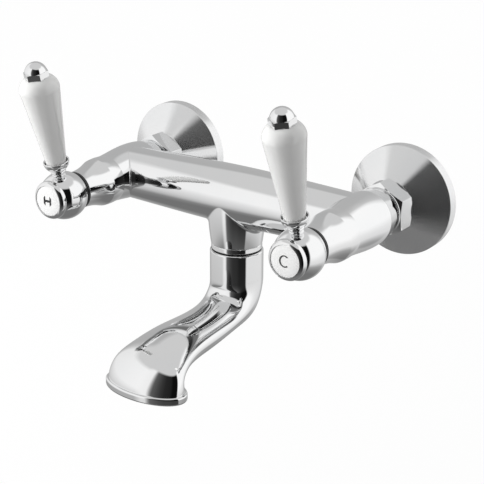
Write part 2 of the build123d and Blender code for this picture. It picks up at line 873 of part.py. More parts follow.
def make_knob(side, x):
    """Domed cap nut on top of the handle: a hexagon under a ball."""
    place = lever_place(x)
    tilt = radians(lever_tilt)
    up = (0, -sin(tilt), cos(tilt))
    foot = (x, handle_top_along * up[1] - hub_out, handle_top_along * up[2])
    hex_end = handle_top_along + knob_hex_height
    corner_radius = knob_hex_width / 2 / cos(radians(30))
    with BuildPart() as knob:
        with BuildSketch(Plane(origin=foot, x_dir=(1, 0, 0), z_dir=up)):
            RegularPolygon(knob_hex_width / 2, 6, major_radius=False, rotation=30)
        extrude(amount=knob_hex_height)
        turned = [
            (0, handle_top_along),
            (corner_radius, handle_top_along),
            (corner_radius, hex_end - knob_hex_corner_cut),
            (knob_hex_face_radius, hex_end),
            (0, hex_end),
        ]
        turn(turned, place, mode=Mode.INTERSECT)
        with BuildSketch(place):
            with BuildLine():
                start = degrees(asin((hex_end - knob_along) / knob_radius))
                dome = CenterArc((0, knob_along), knob_radius, start, 90 - start)
                Polyline(dome @ 1, (0, hex_end), dome @ 0)
            make_face()
        revolve(axis=Axis(place.origin, place.y_dir))
        bore_end = stud_end + face_clearance
        rod(place, stud_radius + thread_clearance, handle_top_along, bore_end, Mode.SUBTRACT)
    save(knob, f"{side}_lever_knob")


def make_spout_nipple():
    """Hollow nipple that carries the spout, with its collar under the boss."""
    place = spout_place()
    with BuildPart() as nipple:
        rod(place, nipple_thread_radius, boss_depth - nipple_thread_length, boss_depth)
        collar = [
            (0, boss_depth),
            (nipple_collar_radius, boss_depth),
            (nipple_collar_radius, spigot_down),
            (0, spigot_down),
        ]
        rounds = [
            ((nipple_collar_radius, boss_depth), edge_round),
            ((nipple_collar_radius, spigot_down), edge_round),
        ]
        turn(collar, place, rounds)
        rod(place, nipple_spigot_radius, spigot_down, spigot_end_down)
        for first in (spout_ring_first, spout_ring_second):
            middle_down = spigot_down + first
            start = middle_down - spout_ring_section - spout_ring_slack
            end = middle_down + spout_ring_section + spout_ring_slack
            floor_radius = nipple_spigot_radius - 2 * spout_ring_section
            tube(place, nipple_spigot_radius + cut_margin, floor_radius, start, end, Mode.SUBTRACT)
        groove_start = grub_groove_down - grub_groove_width / 2
        groove_end = grub_groove_down + grub_groove_width / 2
        outer = nipple_spigot_radius + cut_margin
        tube(place, outer, grub_groove_radius, groove_start, groove_end, Mode.SUBTRACT)
        rod(place, nipple_bore_radius, boss_depth - nipple_thread_length, spigot_end_down, Mode.SUBTRACT)
    save(nipple, "spout_nipple")


def make_spout_rings():
    """Two rubber rings that seal the spout on its nipple."""
    with BuildPart() as rings:
        middle_radius = nipple_spigot_radius - spout_ring_section
        for first in (spout_ring_first, spout_ring_second):
            soft_ring(spout_place(), spout_ring_section, middle_radius, spigot_down + first)
    save(rings, "spout_o_rings")


def make_spout_washer():
    """Black washer that the spout turns against."""
    with BuildPart() as washer:
        inner = nipple_spigot_radius + slip_clearance
        end_down = spigot_down + spout_washer_thickness
        tube(spout_place(), spout_washer_radius, inner, spigot_down, end_down)
    save(washer, "spout_washer")


def spout_section_plane(out, down, angle):
    """Plane across the waterway, where angle is how far the flow has turned forward."""
    turned = radians(angle)
    return Plane(origin=(0, -out, -down), x_dir=(1, 0, 0), z_dir=(0, -sin(turned), -cos(turned)))


def spout_stations():
    """Plane, half-width and half-height of the spout at each station of its bend."""
    stations = []

    def elbow(angle, half_width, half_height):
        turned = radians(angle)
        out = body_out + elbow_radius * (1 - cos(turned))
        down = elbow_down + elbow_radius * sin(turned)
        stations.append((spout_section_plane(out, down, angle), half_width, half_height))
        return out, down

    elbow(0, spout_tube_radius, spout_tube_radius)
    elbow(elbow_turn / 2, elbow_half_width, elbow_half_height)
    throat_out, throat_down = elbow(elbow_turn, throat_half_width, throat_half_height)
    turned = radians(elbow_turn)
    for share, half_width, half_height in (
        (0.5, bill_half_width, bill_half_height),
        (1.0, brow_half_width, brow_half_height),
    ):
        out = throat_out + share * bill_length * sin(turned)
        down = throat_down + share * bill_length * cos(turned)
        stations.append((spout_section_plane(out, down, elbow_turn), half_width, half_height))
    mouth_out = out + turn_radius * (1 - cos(turned))
    mouth_down = down + turn_radius * sin(turned)
    for share, half_width, half_height in (
        (0.5, nose_half_width, nose_half_height),
        (0.0, mouth_half_width, mouth_half_depth),
    ):
        left_to_turn = radians(share * elbow_turn)
        out = mouth_out - turn_radius * (1 - cos(left_to_turn))
        down = mouth_down - turn_radius * sin(left_to_turn)
        plane = spout_section_plane(out, down, share * elbow_turn)
        stations.append((plane, half_width, half_height))
    return stations, mouth_out, mouth_down


def spout_loft(stations, mouth_out, end_down, inset, mode=Mode.ADD):
    """Loft the spout's bend from its tube through its stations and down into its lip."""
    tube_end = spout_section_plane(body_out, elbow_down - elbow_lead, 0)
    lip_end = spout_section_plane(mouth_out, end_down, 0)
    first = (tube_end, spout_tube_radius, spout_tube_radius)
    last = (lip_end, mouth_half_width, mouth_half_depth)
    sections = []
    for plane, half_width, half_height in [first] + stations + [last]:
        with BuildSketch(plane) as section:
            Ellipse(half_width - inset, half_height - inset)
        sections.append(section.sketch)
    loft(sections, mode=mode)


def make_spout():
    """Swivel spout: a tube that bends forward, widens and turns down to an oval mouth."""
    place = spout_place()
    stations, mouth_out, mouth_down = spout_stations()
    with BuildPart() as spout:
        with BuildSketch(Plane.XY.offset(-mouth_down)):
            with Locations((0, -mouth_out)):
                Ellipse(mouth_half_width + mouth_lip_overhang, mouth_half_depth + mouth_lip_overhang)
        extrude(amount=-mouth_lip_thickness)
        fillet(spout.edges().group_by(Axis.Z)[0] + spout.edges().group_by(Axis.Z)[-1], mouth_lip_round)
        upright = [
            (0, spout_top_down),
            (spout_tube_radius, spout_top_down),
            (spout_tube_radius, elbow_down - elbow_lead),
            (0, elbow_down - elbow_lead),
        ]
        turn(upright, place, [((spout_tube_radius, spout_top_down), spout_top_round)])
        lip_middle_down = mouth_down + mouth_lip_thickness / 2
        spout_loft(stations, mouth_out, lip_middle_down, 0)
        spout_loft(stations, mouth_out, lip_middle_down, spout_wall, Mode.SUBTRACT)
        with BuildSketch(Plane.XY.offset(-mouth_down)):
            with Locations((0, -mouth_out)):
                ledge = spout_wall + mouth_ledge
                Ellipse(mouth_half_width - ledge, mouth_half_depth - ledge)
        extrude(amount=-mouth_lip_thickness - cut_margin, mode=Mode.SUBTRACT)
        rod(place, spigot_bore_radius, spout_top_down, elbow_down, Mode.SUBTRACT)
        with BuildSketch(Plane.XZ.offset(body_out)):
            with Locations((0, -grub_groove_down)):
                Circle(grub_screw_radius + thread_clearance)
        extrude(amount=-spout_tube_radius - cut_margin, mode=Mode.SUBTRACT)
    save(spout, "spout")


def make_grub_screw():
    """Set screw in the back of the spout, with its tip in the nipple's groove."""
    place = Plane(origin=(0, -body_out, -grub_groove_down), x_dir=(1, 0, 0), z_dir=(0, 0, 1))
    tip_start = grub_groove_radius + face_clearance
    end = spout_tube_radius - grub_screw_setback
    with BuildPart() as screw:
        rod(place, grub_tip_radius, tip_start, tip_start + grub_tip_length)
        rod(place, grub_screw_radius, tip_start + grub_tip_length, end)
        with BuildSketch(Plane.XZ.offset(body_out - end)):
            with Locations((0, -grub_groove_down)):
                RegularPolygon(grub_socket_width / 2, 6, major_radius=False)
        extrude(amount=grub_socket_depth, mode=Mode.SUBTRACT)
    save(screw, "spout_grub_screw")


make_body()
for side, x in (("hot", -inlet_spacing / 2), ("cold", inlet_spacing / 2)):
    make_rose(side, x)
    make_wall_union(side, x)
    make_union_nut(side, x)
    make_union_washer(side, x)
    make_inlet_tail(side, x)
    make_valve_body(side, x)
    make_valve_seal(side, x)
    make_ceramic_disc(side, x, "fixed_disc", fixed_disc_out, disc_thickness, disc_radius, 0)
    moving_thickness = disc_thickness - running_clearance
    moving_start_out = moving_disc_out + running_clearance
    moving_radius = disc_radius - slip_clearance
    make_ceramic_disc(side, x, "moving_disc", moving_start_out, moving_thickness, moving_radius, 90)
    make_valve_ring(side, x)
    make_shield(side, x)
    make_glide_ring(side, x)
    make_spindle(side, x)
    make_spindle_rings(side, x)
    make_spindle_clip(side, x)
    make_hub(side, x)
    make_handle_screw(side, x)
    make_index_bezel(side, x)
    make_index_disc(side, x)
    make_lever_cup(side, x)
    make_lever_washers(side, x)
    make_lever_handle(side, x)
    make_lever_stud(side, x)
    make_knob(side, x)
make_spout_nipple()
make_spout_rings()
make_spout_washer()
make_spout()
make_grub_screw()
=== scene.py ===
import bpy
import json
import numpy as np
from math import acos, cos, pi, radians, sin, sqrt, tan
from mathutils import Matrix


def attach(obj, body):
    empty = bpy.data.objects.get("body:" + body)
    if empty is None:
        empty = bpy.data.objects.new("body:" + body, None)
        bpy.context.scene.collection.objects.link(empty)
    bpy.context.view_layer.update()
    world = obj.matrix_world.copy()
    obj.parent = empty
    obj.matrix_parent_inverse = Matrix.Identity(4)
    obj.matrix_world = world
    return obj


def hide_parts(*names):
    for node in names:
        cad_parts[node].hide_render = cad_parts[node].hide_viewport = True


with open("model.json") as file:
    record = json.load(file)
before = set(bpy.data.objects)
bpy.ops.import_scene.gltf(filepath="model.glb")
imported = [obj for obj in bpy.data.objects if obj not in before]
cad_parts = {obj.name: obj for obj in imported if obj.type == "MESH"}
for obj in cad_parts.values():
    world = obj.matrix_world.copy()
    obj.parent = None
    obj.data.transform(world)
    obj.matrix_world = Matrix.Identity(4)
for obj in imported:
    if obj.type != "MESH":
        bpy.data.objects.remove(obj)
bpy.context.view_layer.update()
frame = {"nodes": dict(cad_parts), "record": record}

# The look of a wall mixer tap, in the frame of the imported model.
# Sizes here are in millimetres, as in the part's source, and every mesh is
# written in metres. X runs along the body, Y into the wall and Z up.

HALF_SPACING = 75.0
SIDES = (("hot", -HALF_SPACING), ("cold", HALF_SPACING))

# Distances out from the wall, along an arm.
UNION_BACK = -14.0
UNION_THREAD_END = 3.0
UNION_KEY_END = 10.0
UNION_FRONT = 24.2
ROSE_RIM_OUT = 6.0
ROSE_TOP_OUT = 18.0
NUT_START = 18.0
NUT_END = 30.0
ARM_REAR = 30.5
BODY_OUT = 50.0
ARM_FRONT = 69.3
SHIELD_END = 94.4
HUB_REAR = 96.1
HUB_OUT = 104.4
HUB_FRONT = 113.3
BEZEL_FRONT = 117.2

# Distances down from the body's axis, at the spout.
BOSS_DEPTH = 26.4
COLLAR_END = 29.2
SPOUT_TOP = 30.0
ELBOW_DOWN = 47.0

LEVER_TILT = 13.5


# Surfaces

def unit(v):
    v = np.asarray(v, float)
    return v / np.linalg.norm(v, axis=-1, keepdims=True)


def rounded(corners, bits=8):
    """Runs of (point, tangent) along straight lines, with an arc at each corner that names a radius."""
    spots = [np.array(c[:2], float) for c in corners]
    arcs = []
    for i, spot in enumerate(spots):
        if len(corners[i]) == 2:
            arcs.append([(spot, None)])
            continue
        size = corners[i][2]
        back = unit(spots[i - 1] - spot)
        ahead = unit(spots[i + 1] - spot)
        half = acos(max(-1.0, min(1.0, float(back @ ahead)))) / 2
        middle = spot + unit(back + ahead) * size / sin(half)
        first = spot + back * size / tan(half) - middle
        last = spot + ahead * size / tan(half) - middle
        total = pi - 2 * half
        arc = []
        for k in range(bits + 1):
            w = k / bits
            v = (sin((1 - w) * total) * first + sin(w * total) * last) / sin(total)
            d = cos(w * total) * last - cos((1 - w) * total) * first
            arc.append((middle + v, unit(d)))
        arcs.append(arc)
    runs = []
    for i, arc in enumerate(arcs):
        if i:
            start, end = arcs[i - 1][-1][0], arc[0][0]
            if np.linalg.norm(end - start) > 1e-6:
                way = unit(end - start)
                runs.append([(start, way), (end, way)])
        if len(arc) > 1:
            runs.append(arc)
    return runs


def spline(points, start, end, knots=None, bits=16):
    """Smooth curve through points, in any number of dimensions: its positions and its tangents.

    An end without a tangent of its own is left free."""
    p = np.array(points, float)
    n = len(p)
    if knots is None:
        h = np.linalg.norm(p[1:] - p[:-1], axis=1)
    else:
        h = np.diff(np.array(knots, float))
    a = np.zeros((n, n))
    b = np.zeros_like(p)
    for i in range(1, n - 1):
        a[i, i - 1] = h[i]
        a[i, i] = 2 * (h[i - 1] + h[i])
        a[i, i + 1] = h[i - 1]
        b[i] = 3 * (h[i] * (p[i] - p[i - 1]) / h[i - 1] + h[i - 1] * (p[i + 1] - p[i]) / h[i])
    for row, near, far, tangent in ((0, 0, 1, start), (n - 1, n - 1, n - 2, end)):
        if tangent is not None:
            a[row, row] = 1
            b[row] = tangent
        else:
            a[row, near] = 2
            a[row, far] = 1
            low, high = min(near, far), max(near, far)
            b[row] = 3 * (p[high] - p[low]) / h[low]
    m = np.linalg.solve(a, b)
    places, ways = [], []
    for i in range(n - 1):
        for k in range(bits + (i == n - 2)):
            s = k / bits
            places.append((2 * s**3 - 3 * s**2 + 1) * p[i] + (s**3 - 2 * s**2 + s) * h[i] * m[i]
                          + (3 * s**2 - 2 * s**3) * p[i + 1] + (s**3 - s**2) * h[i] * m[i + 1])
            ways.append((6 * s**2 - 6 * s) * (p[i] - p[i + 1]) / h[i] + (3 * s**2 - 4 * s + 1) * m[i]
                        + (3 * s**2 - 2 * s) * m[i + 1])
    return np.array(places), np.array(ways)


def curve_run(points, start, end, bits):
    """The spline as one run of an outline, with unit tangents."""
    places, ways = spline(points, unit(start), unit(end), bits=bits)
    return [(place, unit(way)) for place, way in zip(places, ways)]


def arc_run(middle, radius, first, last, bits=32):
    """An arc of an outline, from one angle to another, in degrees from the radius axis."""
    run = []
    turn = 1 if last > first else -1
    for k in range(bits + 1):
        angle = radians(first + (last - first) * k / bits)
        run.append((np.array((middle[0] + radius * cos(angle), middle[1] + radius * sin(angle))),
                    turn * np.array((-sin(angle), cos(angle)))))
    return run


def circle_through(a, b, c):
    """Centre and radius of the circle through three points of an outline."""
    a, b, c = (np.array(v, float) for v in (a, b, c))
    m = 2 * np.array((b - a, c - a))
    middle = np.linalg.solve(m, np.array((b @ b - a @ a, c @ c - a @ a)))
    return middle, np.linalg.norm(a - middle)


def skin(runs):
    """Vertices, faces and corner normals of a surface that runs from ring to ring."""
    verts, faces, normals = [], [], []
    last_ids, last_ring = None, None
    for run in runs:
        before = None
        for ring, ring_normals in run:
            ring = np.asarray(ring, float)
            pole = np.ptp(ring, axis=0).max() < 1e-6
            if before is None and last_ring is not None and np.allclose(ring, last_ring, atol=1e-5):
                ids = last_ids
            elif pole:
                ids = [len(verts)] * len(ring)
                verts.append(ring[0])
            else:
                ids = list(range(len(verts), len(verts) + len(ring)))
                verts.extend(ring)
            if before is not None:
                old_ids, old_normals = before
                for k in range(len(ids)):
                    j = (k + 1) % len(ids)
                    corners = [(old_ids[k], old_normals[k]), (old_ids[j], old_normals[j]),
                               (ids[j], ring_normals[j]), (ids[k], ring_normals[k])]
                    if old_ids[k] == old_ids[j]:
                        corners = corners[1:]
                    elif ids[k] == ids[j]:
                        corners = corners[:3]
                    faces.append([c[0] for c in corners])
                    normals.append([c[1] for c in corners])
            before = (ids, ring_normals)
            last_ids, last_ring = ids, ring
    return outward(np.array(verts), faces, normals)


def outward(verts, faces, normals):
    """Turns the faces round where they wind against their normals."""
    side = 0.0
    for face, corner in zip(faces, normals):
        a, b, c = verts[face[0]], verts[face[1]], verts[face[2]]
        side += float(np.cross(b - a, c - a) @ np.mean(corner, axis=0))
    if side < 0:
        faces = [face[::-1] for face in faces]
        normals = [corner[::-1] for corner in normals]
    return verts, faces, normals


# A place is an origin, the axis that it turns about and the way to its first point.


def arm_axis(x):
    return np.array((x, 0, 0)), np.array((0, -1, 0)), np.array((1, 0, 0))


def lever_axis(x):
    tilt = radians(LEVER_TILT)
    axis = np.array((0, -sin(tilt), cos(tilt)))
    return np.array((x, -HUB_OUT, 0)), axis, np.array((1, 0, 0))


def down_axis():
    return np.array((0, -BODY_OUT, 0)), np.array((0, 0, -1)), np.array((1, 0, 0))


def bar_axis():
    return np.array((0, -BODY_OUT, 0)), np.array((1, 0, 0)), np.array((0, 0, 1))


def turned(place, runs, steps=96):
    """An outline of (radius, distance) turned about a place's axis."""
    origin, axis, across = (np.asarray(v, float) for v in place)
    third = np.cross(axis, across)
    angles = np.arange(steps) * 2 * pi / steps
    spokes = np.cos(angles)[:, None] * across + np.sin(angles)[:, None] * third
    rings = []
    for run in runs:
        rings.append([(origin + spot[0] * spokes + spot[1] * axis, unit(way[1] * spokes - way[0] * axis))
                      for spot, way in run])
    return skin(rings)


def make(name, shells, body, finish, nodes=(), material=None):
    """One object from its shells, with exact normals, that rides on a body in place of its nodes.

    It takes the material of its finish, unless a material is given."""
    verts, faces, normals = [], [], []
    for shell_verts, shell_faces, shell_normals in shells:
        start = len(verts)
        verts.extend(shell_verts * 0.001)
        faces.extend([start + i for i in face] for face in shell_faces)
        normals.extend(n for corner in shell_normals for n in corner)
    mesh = bpy.data.meshes.new(name)
    mesh.from_pydata([tuple(v) for v in verts], [], faces)
    mesh.polygons.foreach_set("use_smooth", [True] * len(mesh.polygons))
    mesh.normals_split_custom_set([tuple(n) for n in normals])
    mesh.materials.append(material or MATERIALS[finish])
    obj = bpy.data.objects.new(name, mesh)
    bpy.context.scene.collection.objects.link(obj)
    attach(obj, body)
    if nodes:
        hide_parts(*nodes)
    return obj


# Materials

def node(tree, kind, **values):
    made = tree.nodes.new(kind)
    for key, value in values.items():
        setattr(made, key, value)
    return made


def finish_of(name, colours, roughness, metallic=0.0, scale=60.0, bump=0.0, bump_scale=900.0, **sockets):
    """A procedural finish: its colour and roughness drift softly, and a fine bump gives it a grain."""
    material = bpy.data.materials.new(name)
    material.use_nodes = True
    tree = material.node_tree
    shader = tree.nodes["Principled BSDF"]
    shader.inputs["Metallic"].default_value = metallic
    for key, value in sockets.items():
        shader.inputs[key.replace("_", " ")].default_value = value
    place = node(tree, "ShaderNodeTexCoord")
    source = place.outputs["Object"]
    cloud = node(tree, "ShaderNodeTexNoise")
    cloud.inputs["Scale"].default_value = scale
    cloud.inputs["Detail"].default_value = 4.0
    tree.links.new(source, cloud.inputs["Vector"])
    ramp = node(tree, "ShaderNodeValToRGB")
    ramp.color_ramp.elements[0].position = 0.35
    ramp.color_ramp.elements[0].color = (*colours[0], 1)
    ramp.color_ramp.elements[1].position = 0.65
    ramp.color_ramp.elements[1].color = (*colours[1], 1)
    tree.links.new(cloud.outputs["Fac"], ramp.inputs["Fac"])
    tree.links.new(ramp.outputs["Color"], shader.inputs["Base Color"])
    spread = node(tree, "ShaderNodeMapRange")
    spread.inputs["From Min"].default_value = 0.3
    spread.inputs["From Max"].default_value = 0.7
    spread.inputs["To Min"].default_value = roughness[0]
    spread.inputs["To Max"].default_value = roughness[1]
    tree.links.new(cloud.outputs["Fac"], spread.inputs["Value"])
    tree.links.new(spread.outputs["Result"], shader.inputs["Roughness"])
    if bump:
        grain = node(tree, "ShaderNodeTexNoise")
        grain.inputs["Scale"].default_value = bump_scale
        grain.inputs["Detail"].default_value = 3.0
        tree.links.new(source, grain.inputs["Vector"])
        relief = node(tree, "ShaderNodeBump")
        relief.inputs["Strength"].default_value = bump
        relief.inputs["Distance"].default_value = 0.0002
        tree.links.new(grain.outputs["Fac"], relief.inputs["Height"])
        tree.links.new(relief.outputs["Normal"], shader.inputs["Normal"])
    return material


MATERIALS = {
    "chrome": finish_of("chrome_plate", ((0.865, 0.87, 0.875), (0.885, 0.885, 0.885)), (0.03, 0.055),
                        metallic=1.0, scale=45.0, bump=0.015, bump_scale=400.0),
    "spun": finish_of("spun_chrome", ((0.85, 0.855, 0.86), (0.88, 0.88, 0.88)), (0.08, 0.11),
                      metallic=0.86, scale=45.0, bump=0.02, bump_scale=400.0),
    "brass": finish_of("turned_brass", ((0.62, 0.43, 0.17), (0.74, 0.54, 0.25)), (0.22, 0.36),
                       metallic=1.0, scale=160.0, bump=0.25, bump_scale=2600.0),
    "steel": finish_of("bright_steel", ((0.55, 0.56, 0.57), (0.64, 0.64, 0.65)), (0.2, 0.32),
                       metallic=1.0, scale=220.0, bump=0.2, bump_scale=3000.0),
    "white_glaze": finish_of("white_glaze", ((0.93, 0.93, 0.92), (0.95, 0.95, 0.94)), (0.05, 0.1),
                             scale=70.0, bump=0.02, bump_scale=260.0, Coat_Weight=0.6, Coat_Roughness=0.03),
    "disc_enamel": finish_of("disc_enamel", ((0.975, 0.975, 0.97), (0.99, 0.99, 0.985)), (0.08, 0.12),
                             scale=90.0, bump=0.01, bump_scale=300.0),
    "plated": finish_of("nickel_plate", ((0.66, 0.655, 0.64), (0.72, 0.715, 0.7)), (0.2, 0.3),
                        metallic=1.0, scale=160.0, bump=0.2, bump_scale=2600.0),
    "valve_ceramic": finish_of("valve_ceramic", ((0.8, 0.78, 0.72), (0.88, 0.86, 0.81)), (0.2, 0.3),
                               scale=300.0, bump=0.05),
    "black_rubber": finish_of("black_rubber", ((0.018, 0.018, 0.018), (0.03, 0.03, 0.03)), (0.5, 0.7),
                              scale=200.0, bump=0.3, bump_scale=1800.0),
    "black_plastic": finish_of("black_plastic", ((0.012, 0.012, 0.013), (0.022, 0.022, 0.022)), (0.3, 0.42),
                               scale=200.0, bump=0.15, bump_scale=1800.0),
    "white_nylon": finish_of("white_nylon", ((0.82, 0.82, 0.8), (0.88, 0.88, 0.86)), (0.35, 0.5),
                             scale=200.0, bump=0.1, bump_scale=1500.0),
}
MARK_INK = finish_of("mark_ink", ((0.012, 0.012, 0.012), (0.03, 0.03, 0.03)), (0.25, 0.4),
                     scale=900.0, bump=0.1, bump_scale=2400.0, Coat_Weight=0.4, Coat_Roughness=0.05)

# The nodes that stay visible, mostly inside, take the finish of their material.
for entry in frame["record"]["subparts"]:
    cad = frame["nodes"][entry["node"]]
    finish = "plated" if entry["node"].endswith("inlet_tail") else entry["material_slot"]
    for holder in cad.material_slots:
        holder.material = MATERIALS[finish]


# Body

BAR_MIDDLE = 16.1
BAR_END = 14.35
BAR_END_SLOPE = 0.026
BOSS_TOP_RADIUS = 15.8
BOSS_WAIST_RADIUS = 15.2
BOSS_WAIST_DOWN = 16.4
BOSS_FOOT_RADIUS = 14.0
BOSS_EDGE = 1.2
BOSS_EDGE_ROUND = 0.6
BOSS_BLEND = 3.0
ARM_REAR_RADIUS = 12.7
ARM_MIDDLE_RADIUS = 14.8
ARM_FRONT_RADIUS = 13.05
ARM_REAR_FACE = 10.0
ARM_REAR_ROUND = 1.6
ARM_BLEND = 0.9
COLLAR_BORE = 10.1
COLLAR_RADIUS = 13.9
COLLAR_ROUND = 0.4

bar_places, bar_ways = spline([(BAR_END, -HALF_SPACING), (BAR_MIDDLE, 0), (BAR_END, HALF_SPACING)],
                              unit((BAR_END_SLOPE, 1)), unit((-BAR_END_SLOPE, 1)), bits=40)


boss_middle, boss_round = circle_through((BOSS_TOP_RADIUS, 0), (BOSS_WAIST_RADIUS, BOSS_WAIST_DOWN),
                                         (BOSS_FOOT_RADIUS, BOSS_DEPTH))


def boss_radius(down):
    return boss_middle[0] + sqrt(boss_round**2 - (down - boss_middle[1]) ** 2)


def bar_radius(x):
    return float(np.interp(x, bar_places[:, 1], bar_places[:, 0]))


bulb_places, bulb_ways = spline([(ARM_REAR_RADIUS, ARM_REAR), (ARM_MIDDLE_RADIUS, BODY_OUT),
                                 (ARM_FRONT_RADIUS, ARM_FRONT)],
                                unit((0.28, 1)), unit((-0.05, 1)), bits=28)


def arm_radius(out):
    return float(np.interp(out, bulb_places[:, 1], bulb_places[:, 0]))


def blend_strip(steps=192, bits=10):
    """Surface of a ball rolled round the crease between the bar and the boss."""
    rings = [[] for _ in range(bits + 1)]
    for k in range(steps):
        turn_angle = 2 * pi * k / steps
        out = np.array((cos(turn_angle), sin(turn_angle), 0))
        down = 8.0
        for _ in range(12):
            reach = boss_radius(down) + BOSS_BLEND
            x, y = reach * out[0], reach * out[1]
            lift = (bar_radius(x) + BOSS_BLEND) ** 2 - y * y
            down = sqrt(max(lift, 0.0))
        middle = np.array((x, y, -down))
        to_boss = -out
        to_bar = -unit(np.array((0, y, -down)))
        angle = acos(max(-1.0, min(1.0, float(to_boss @ to_bar))))
        for j in range(bits + 1):
            w = j / bits
            way = (sin((1 - w) * angle) * to_boss + sin(w * angle) * to_bar) / sin(angle)
            rings[j].append((middle + BOSS_BLEND * way + np.array((0, -BODY_OUT, 0)), -way))
    run = []
    for ring in rings:
        run.append((np.array([r[0] for r in ring]), np.array([r[1] for r in ring])))
    return skin([run])


def arm_blend(x, steps=240, bits=8):
    """Surface of a small ball rolled round the crease between an arm and the bar."""
    sign = -1.0 if x > 0 else 1.0
    rings = [[] for _ in range(bits + 1)]
    for k in range(steps):
        turn_angle = 2 * pi * k / steps
        up_way = np.array((0, cos(turn_angle), sin(turn_angle)))
        reach = 10.0
        for _ in range(30):
            y = (bar_radius(x + sign * reach) + ARM_BLEND) * up_way[1]
            z = (bar_radius(x + sign * reach) + ARM_BLEND) * up_way[2]
            lift = (arm_radius(BODY_OUT - y) + ARM_BLEND) ** 2 - z * z
            reach = sqrt(max(lift, 0.01))
        middle = np.array((x + sign * reach, y, z))
        to_bar = -up_way
        to_arm = -unit(np.array((sign * reach, 0, z)))
        angle = acos(max(-1.0, min(1.0, float(to_bar @ to_arm))))
        for j in range(bits + 1):
            w = j / bits
            way = (sin((1 - w) * angle) * to_bar + sin(w * angle) * to_arm) / sin(angle)
            rings[j].append((middle + ARM_BLEND * way + np.array((0, -BODY_OUT, 0)), -way))
    run = [(np.array([r[0] for r in ring]), np.array([r[1] for r in ring])) for ring in rings]
    return skin([run])


bar_run = [(place, unit(way)) for place, way in zip(bar_places, bar_ways)]
bar_shell = turned(bar_axis(), [bar_run], 160)

boss_stop = BOSS_DEPTH - BOSS_EDGE
boss_edge = rounded([(boss_radius(boss_stop), boss_stop), (BOSS_FOOT_RADIUS, BOSS_DEPTH, BOSS_EDGE_ROUND),
                     (0, BOSS_DEPTH)])
boss_side = []
for k in range(41):
    down = boss_stop * k / 40
    spot = np.array((boss_radius(down), down))
    normal = unit(spot - boss_middle)
    boss_side.append((spot, np.array((-normal[1], normal[0]))))
boss_shell = turned(down_axis(), [boss_side] + boss_edge, 160)

arm_shells = []
for side, x in SIDES:
    # The rear corner is rounded, so the bulb starts where the rounding ends.
    keep = [i for i, p in enumerate(bulb_places) if p[1] > ARM_REAR + ARM_REAR_ROUND + 0.15]
    bulb = [(bulb_places[i], unit(bulb_ways[i])) for i in keep]
    first_spot, first_way = bulb[0]
    corner_out = first_spot - first_way * (first_spot[1] - ARM_REAR) / first_way[1]
    rear = rounded([(ARM_REAR_FACE, ARM_REAR), (corner_out[0], ARM_REAR, ARM_REAR_ROUND), tuple(first_spot)])
    front = rounded([tuple(bulb[-1][0]), (0.0, ARM_FRONT)])
    arm_shells.append(turned(arm_axis(x), rear + [bulb] + front, 144))
    arm_shells.append(arm_blend(x))

make("tap_body_casting", [bar_shell, boss_shell, blend_strip()] + arm_shells, "tap_body", "chrome",
     ["mixer_body"])

collar = rounded([(COLLAR_BORE, BOSS_DEPTH), (COLLAR_RADIUS, BOSS_DEPTH, COLLAR_ROUND),
                  (COLLAR_RADIUS, COLLAR_END, COLLAR_ROUND), (COLLAR_BORE, COLLAR_END)])
make("spout_joint_collar", [turned(down_axis(), collar, 144)], "tap_body", "chrome")


# Roses, unions and nuts

ROSE_RADIUS = 30.0
ROSE_INSIDE = 28.6
ROSE_INSIDE_OUT = 5.3
ROSE_INSIDE_TOP_RADIUS = 12.9
ROSE_TOP_RADIUS = 14.3
ROSE_BORE = 11.55
ROSE_WALL = 1.4
ROSE_REAR_ROUND = 0.3
ROSE_RIM_ROUND = 0.5
ROSE_TOP_ROUND = 0.4
NUT_WIDTH = 27.4
NUT_FACE_RADIUS = 13.5
NUT_CORNER_CUT = 1.3
NUT_BORE = 9.6
KEY_WIDTH = 25.0
KEY_FACE_RADIUS = 12.3
KEY_CORNER_CUT = 1.2
KEY_BORE = 9.0
PITCH = 1.814
WALL_THREAD = 10.48
WALL_THREAD_ROOT = 9.3
WALL_THREAD_DEPTH = 1.1
NUT_THREAD = 11.45
NUT_THREAD_DEPTH = 1.0
UNION_BORE = 6.6


def rose_shell(x):
    inside_top = ROSE_TOP_OUT - ROSE_WALL
    outline = [(ROSE_INSIDE, 0), (ROSE_RADIUS, 0, ROSE_REAR_ROUND),
               (ROSE_RADIUS, ROSE_RIM_OUT, ROSE_RIM_ROUND), (ROSE_TOP_RADIUS, ROSE_TOP_OUT, ROSE_TOP_ROUND),
               (ROSE_BORE, ROSE_TOP_OUT), (ROSE_BORE, inside_top), (ROSE_INSIDE_TOP_RADIUS, inside_top),
               (ROSE_INSIDE, ROSE_INSIDE_OUT), (ROSE_INSIDE, 0)]
    return turned(arm_axis(x), rounded(outline), 160)


def hexagon(width, corner, bits=6, side_bits=14):
    """Points and normals round a hexagon with softened corners, corner up."""
    apothem = width / 2
    ring, normals = [], []
    reach = corner * tan(radians(30))
    half_side = apothem * tan(radians(30)) - reach
    for k in range(6):
        facing = radians(60 * k)
        out = np.array((cos(facing), sin(facing)))
        along = np.array((-sin(facing), cos(facing)))
        for j in range(side_bits + 1):
            w = -1 + 2 * j / side_bits
            ring.append(out * apothem + along * half_side * w)
            normals.append(out)
        for j in range(1, bits):
            angle = facing + radians(60) * j / bits
            way = np.array((cos(angle), sin(angle)))
            ring.append(out * (apothem - corner) + along * half_side + corner * way)
            normals.append(way)
    return np.array(ring), np.array(normals)


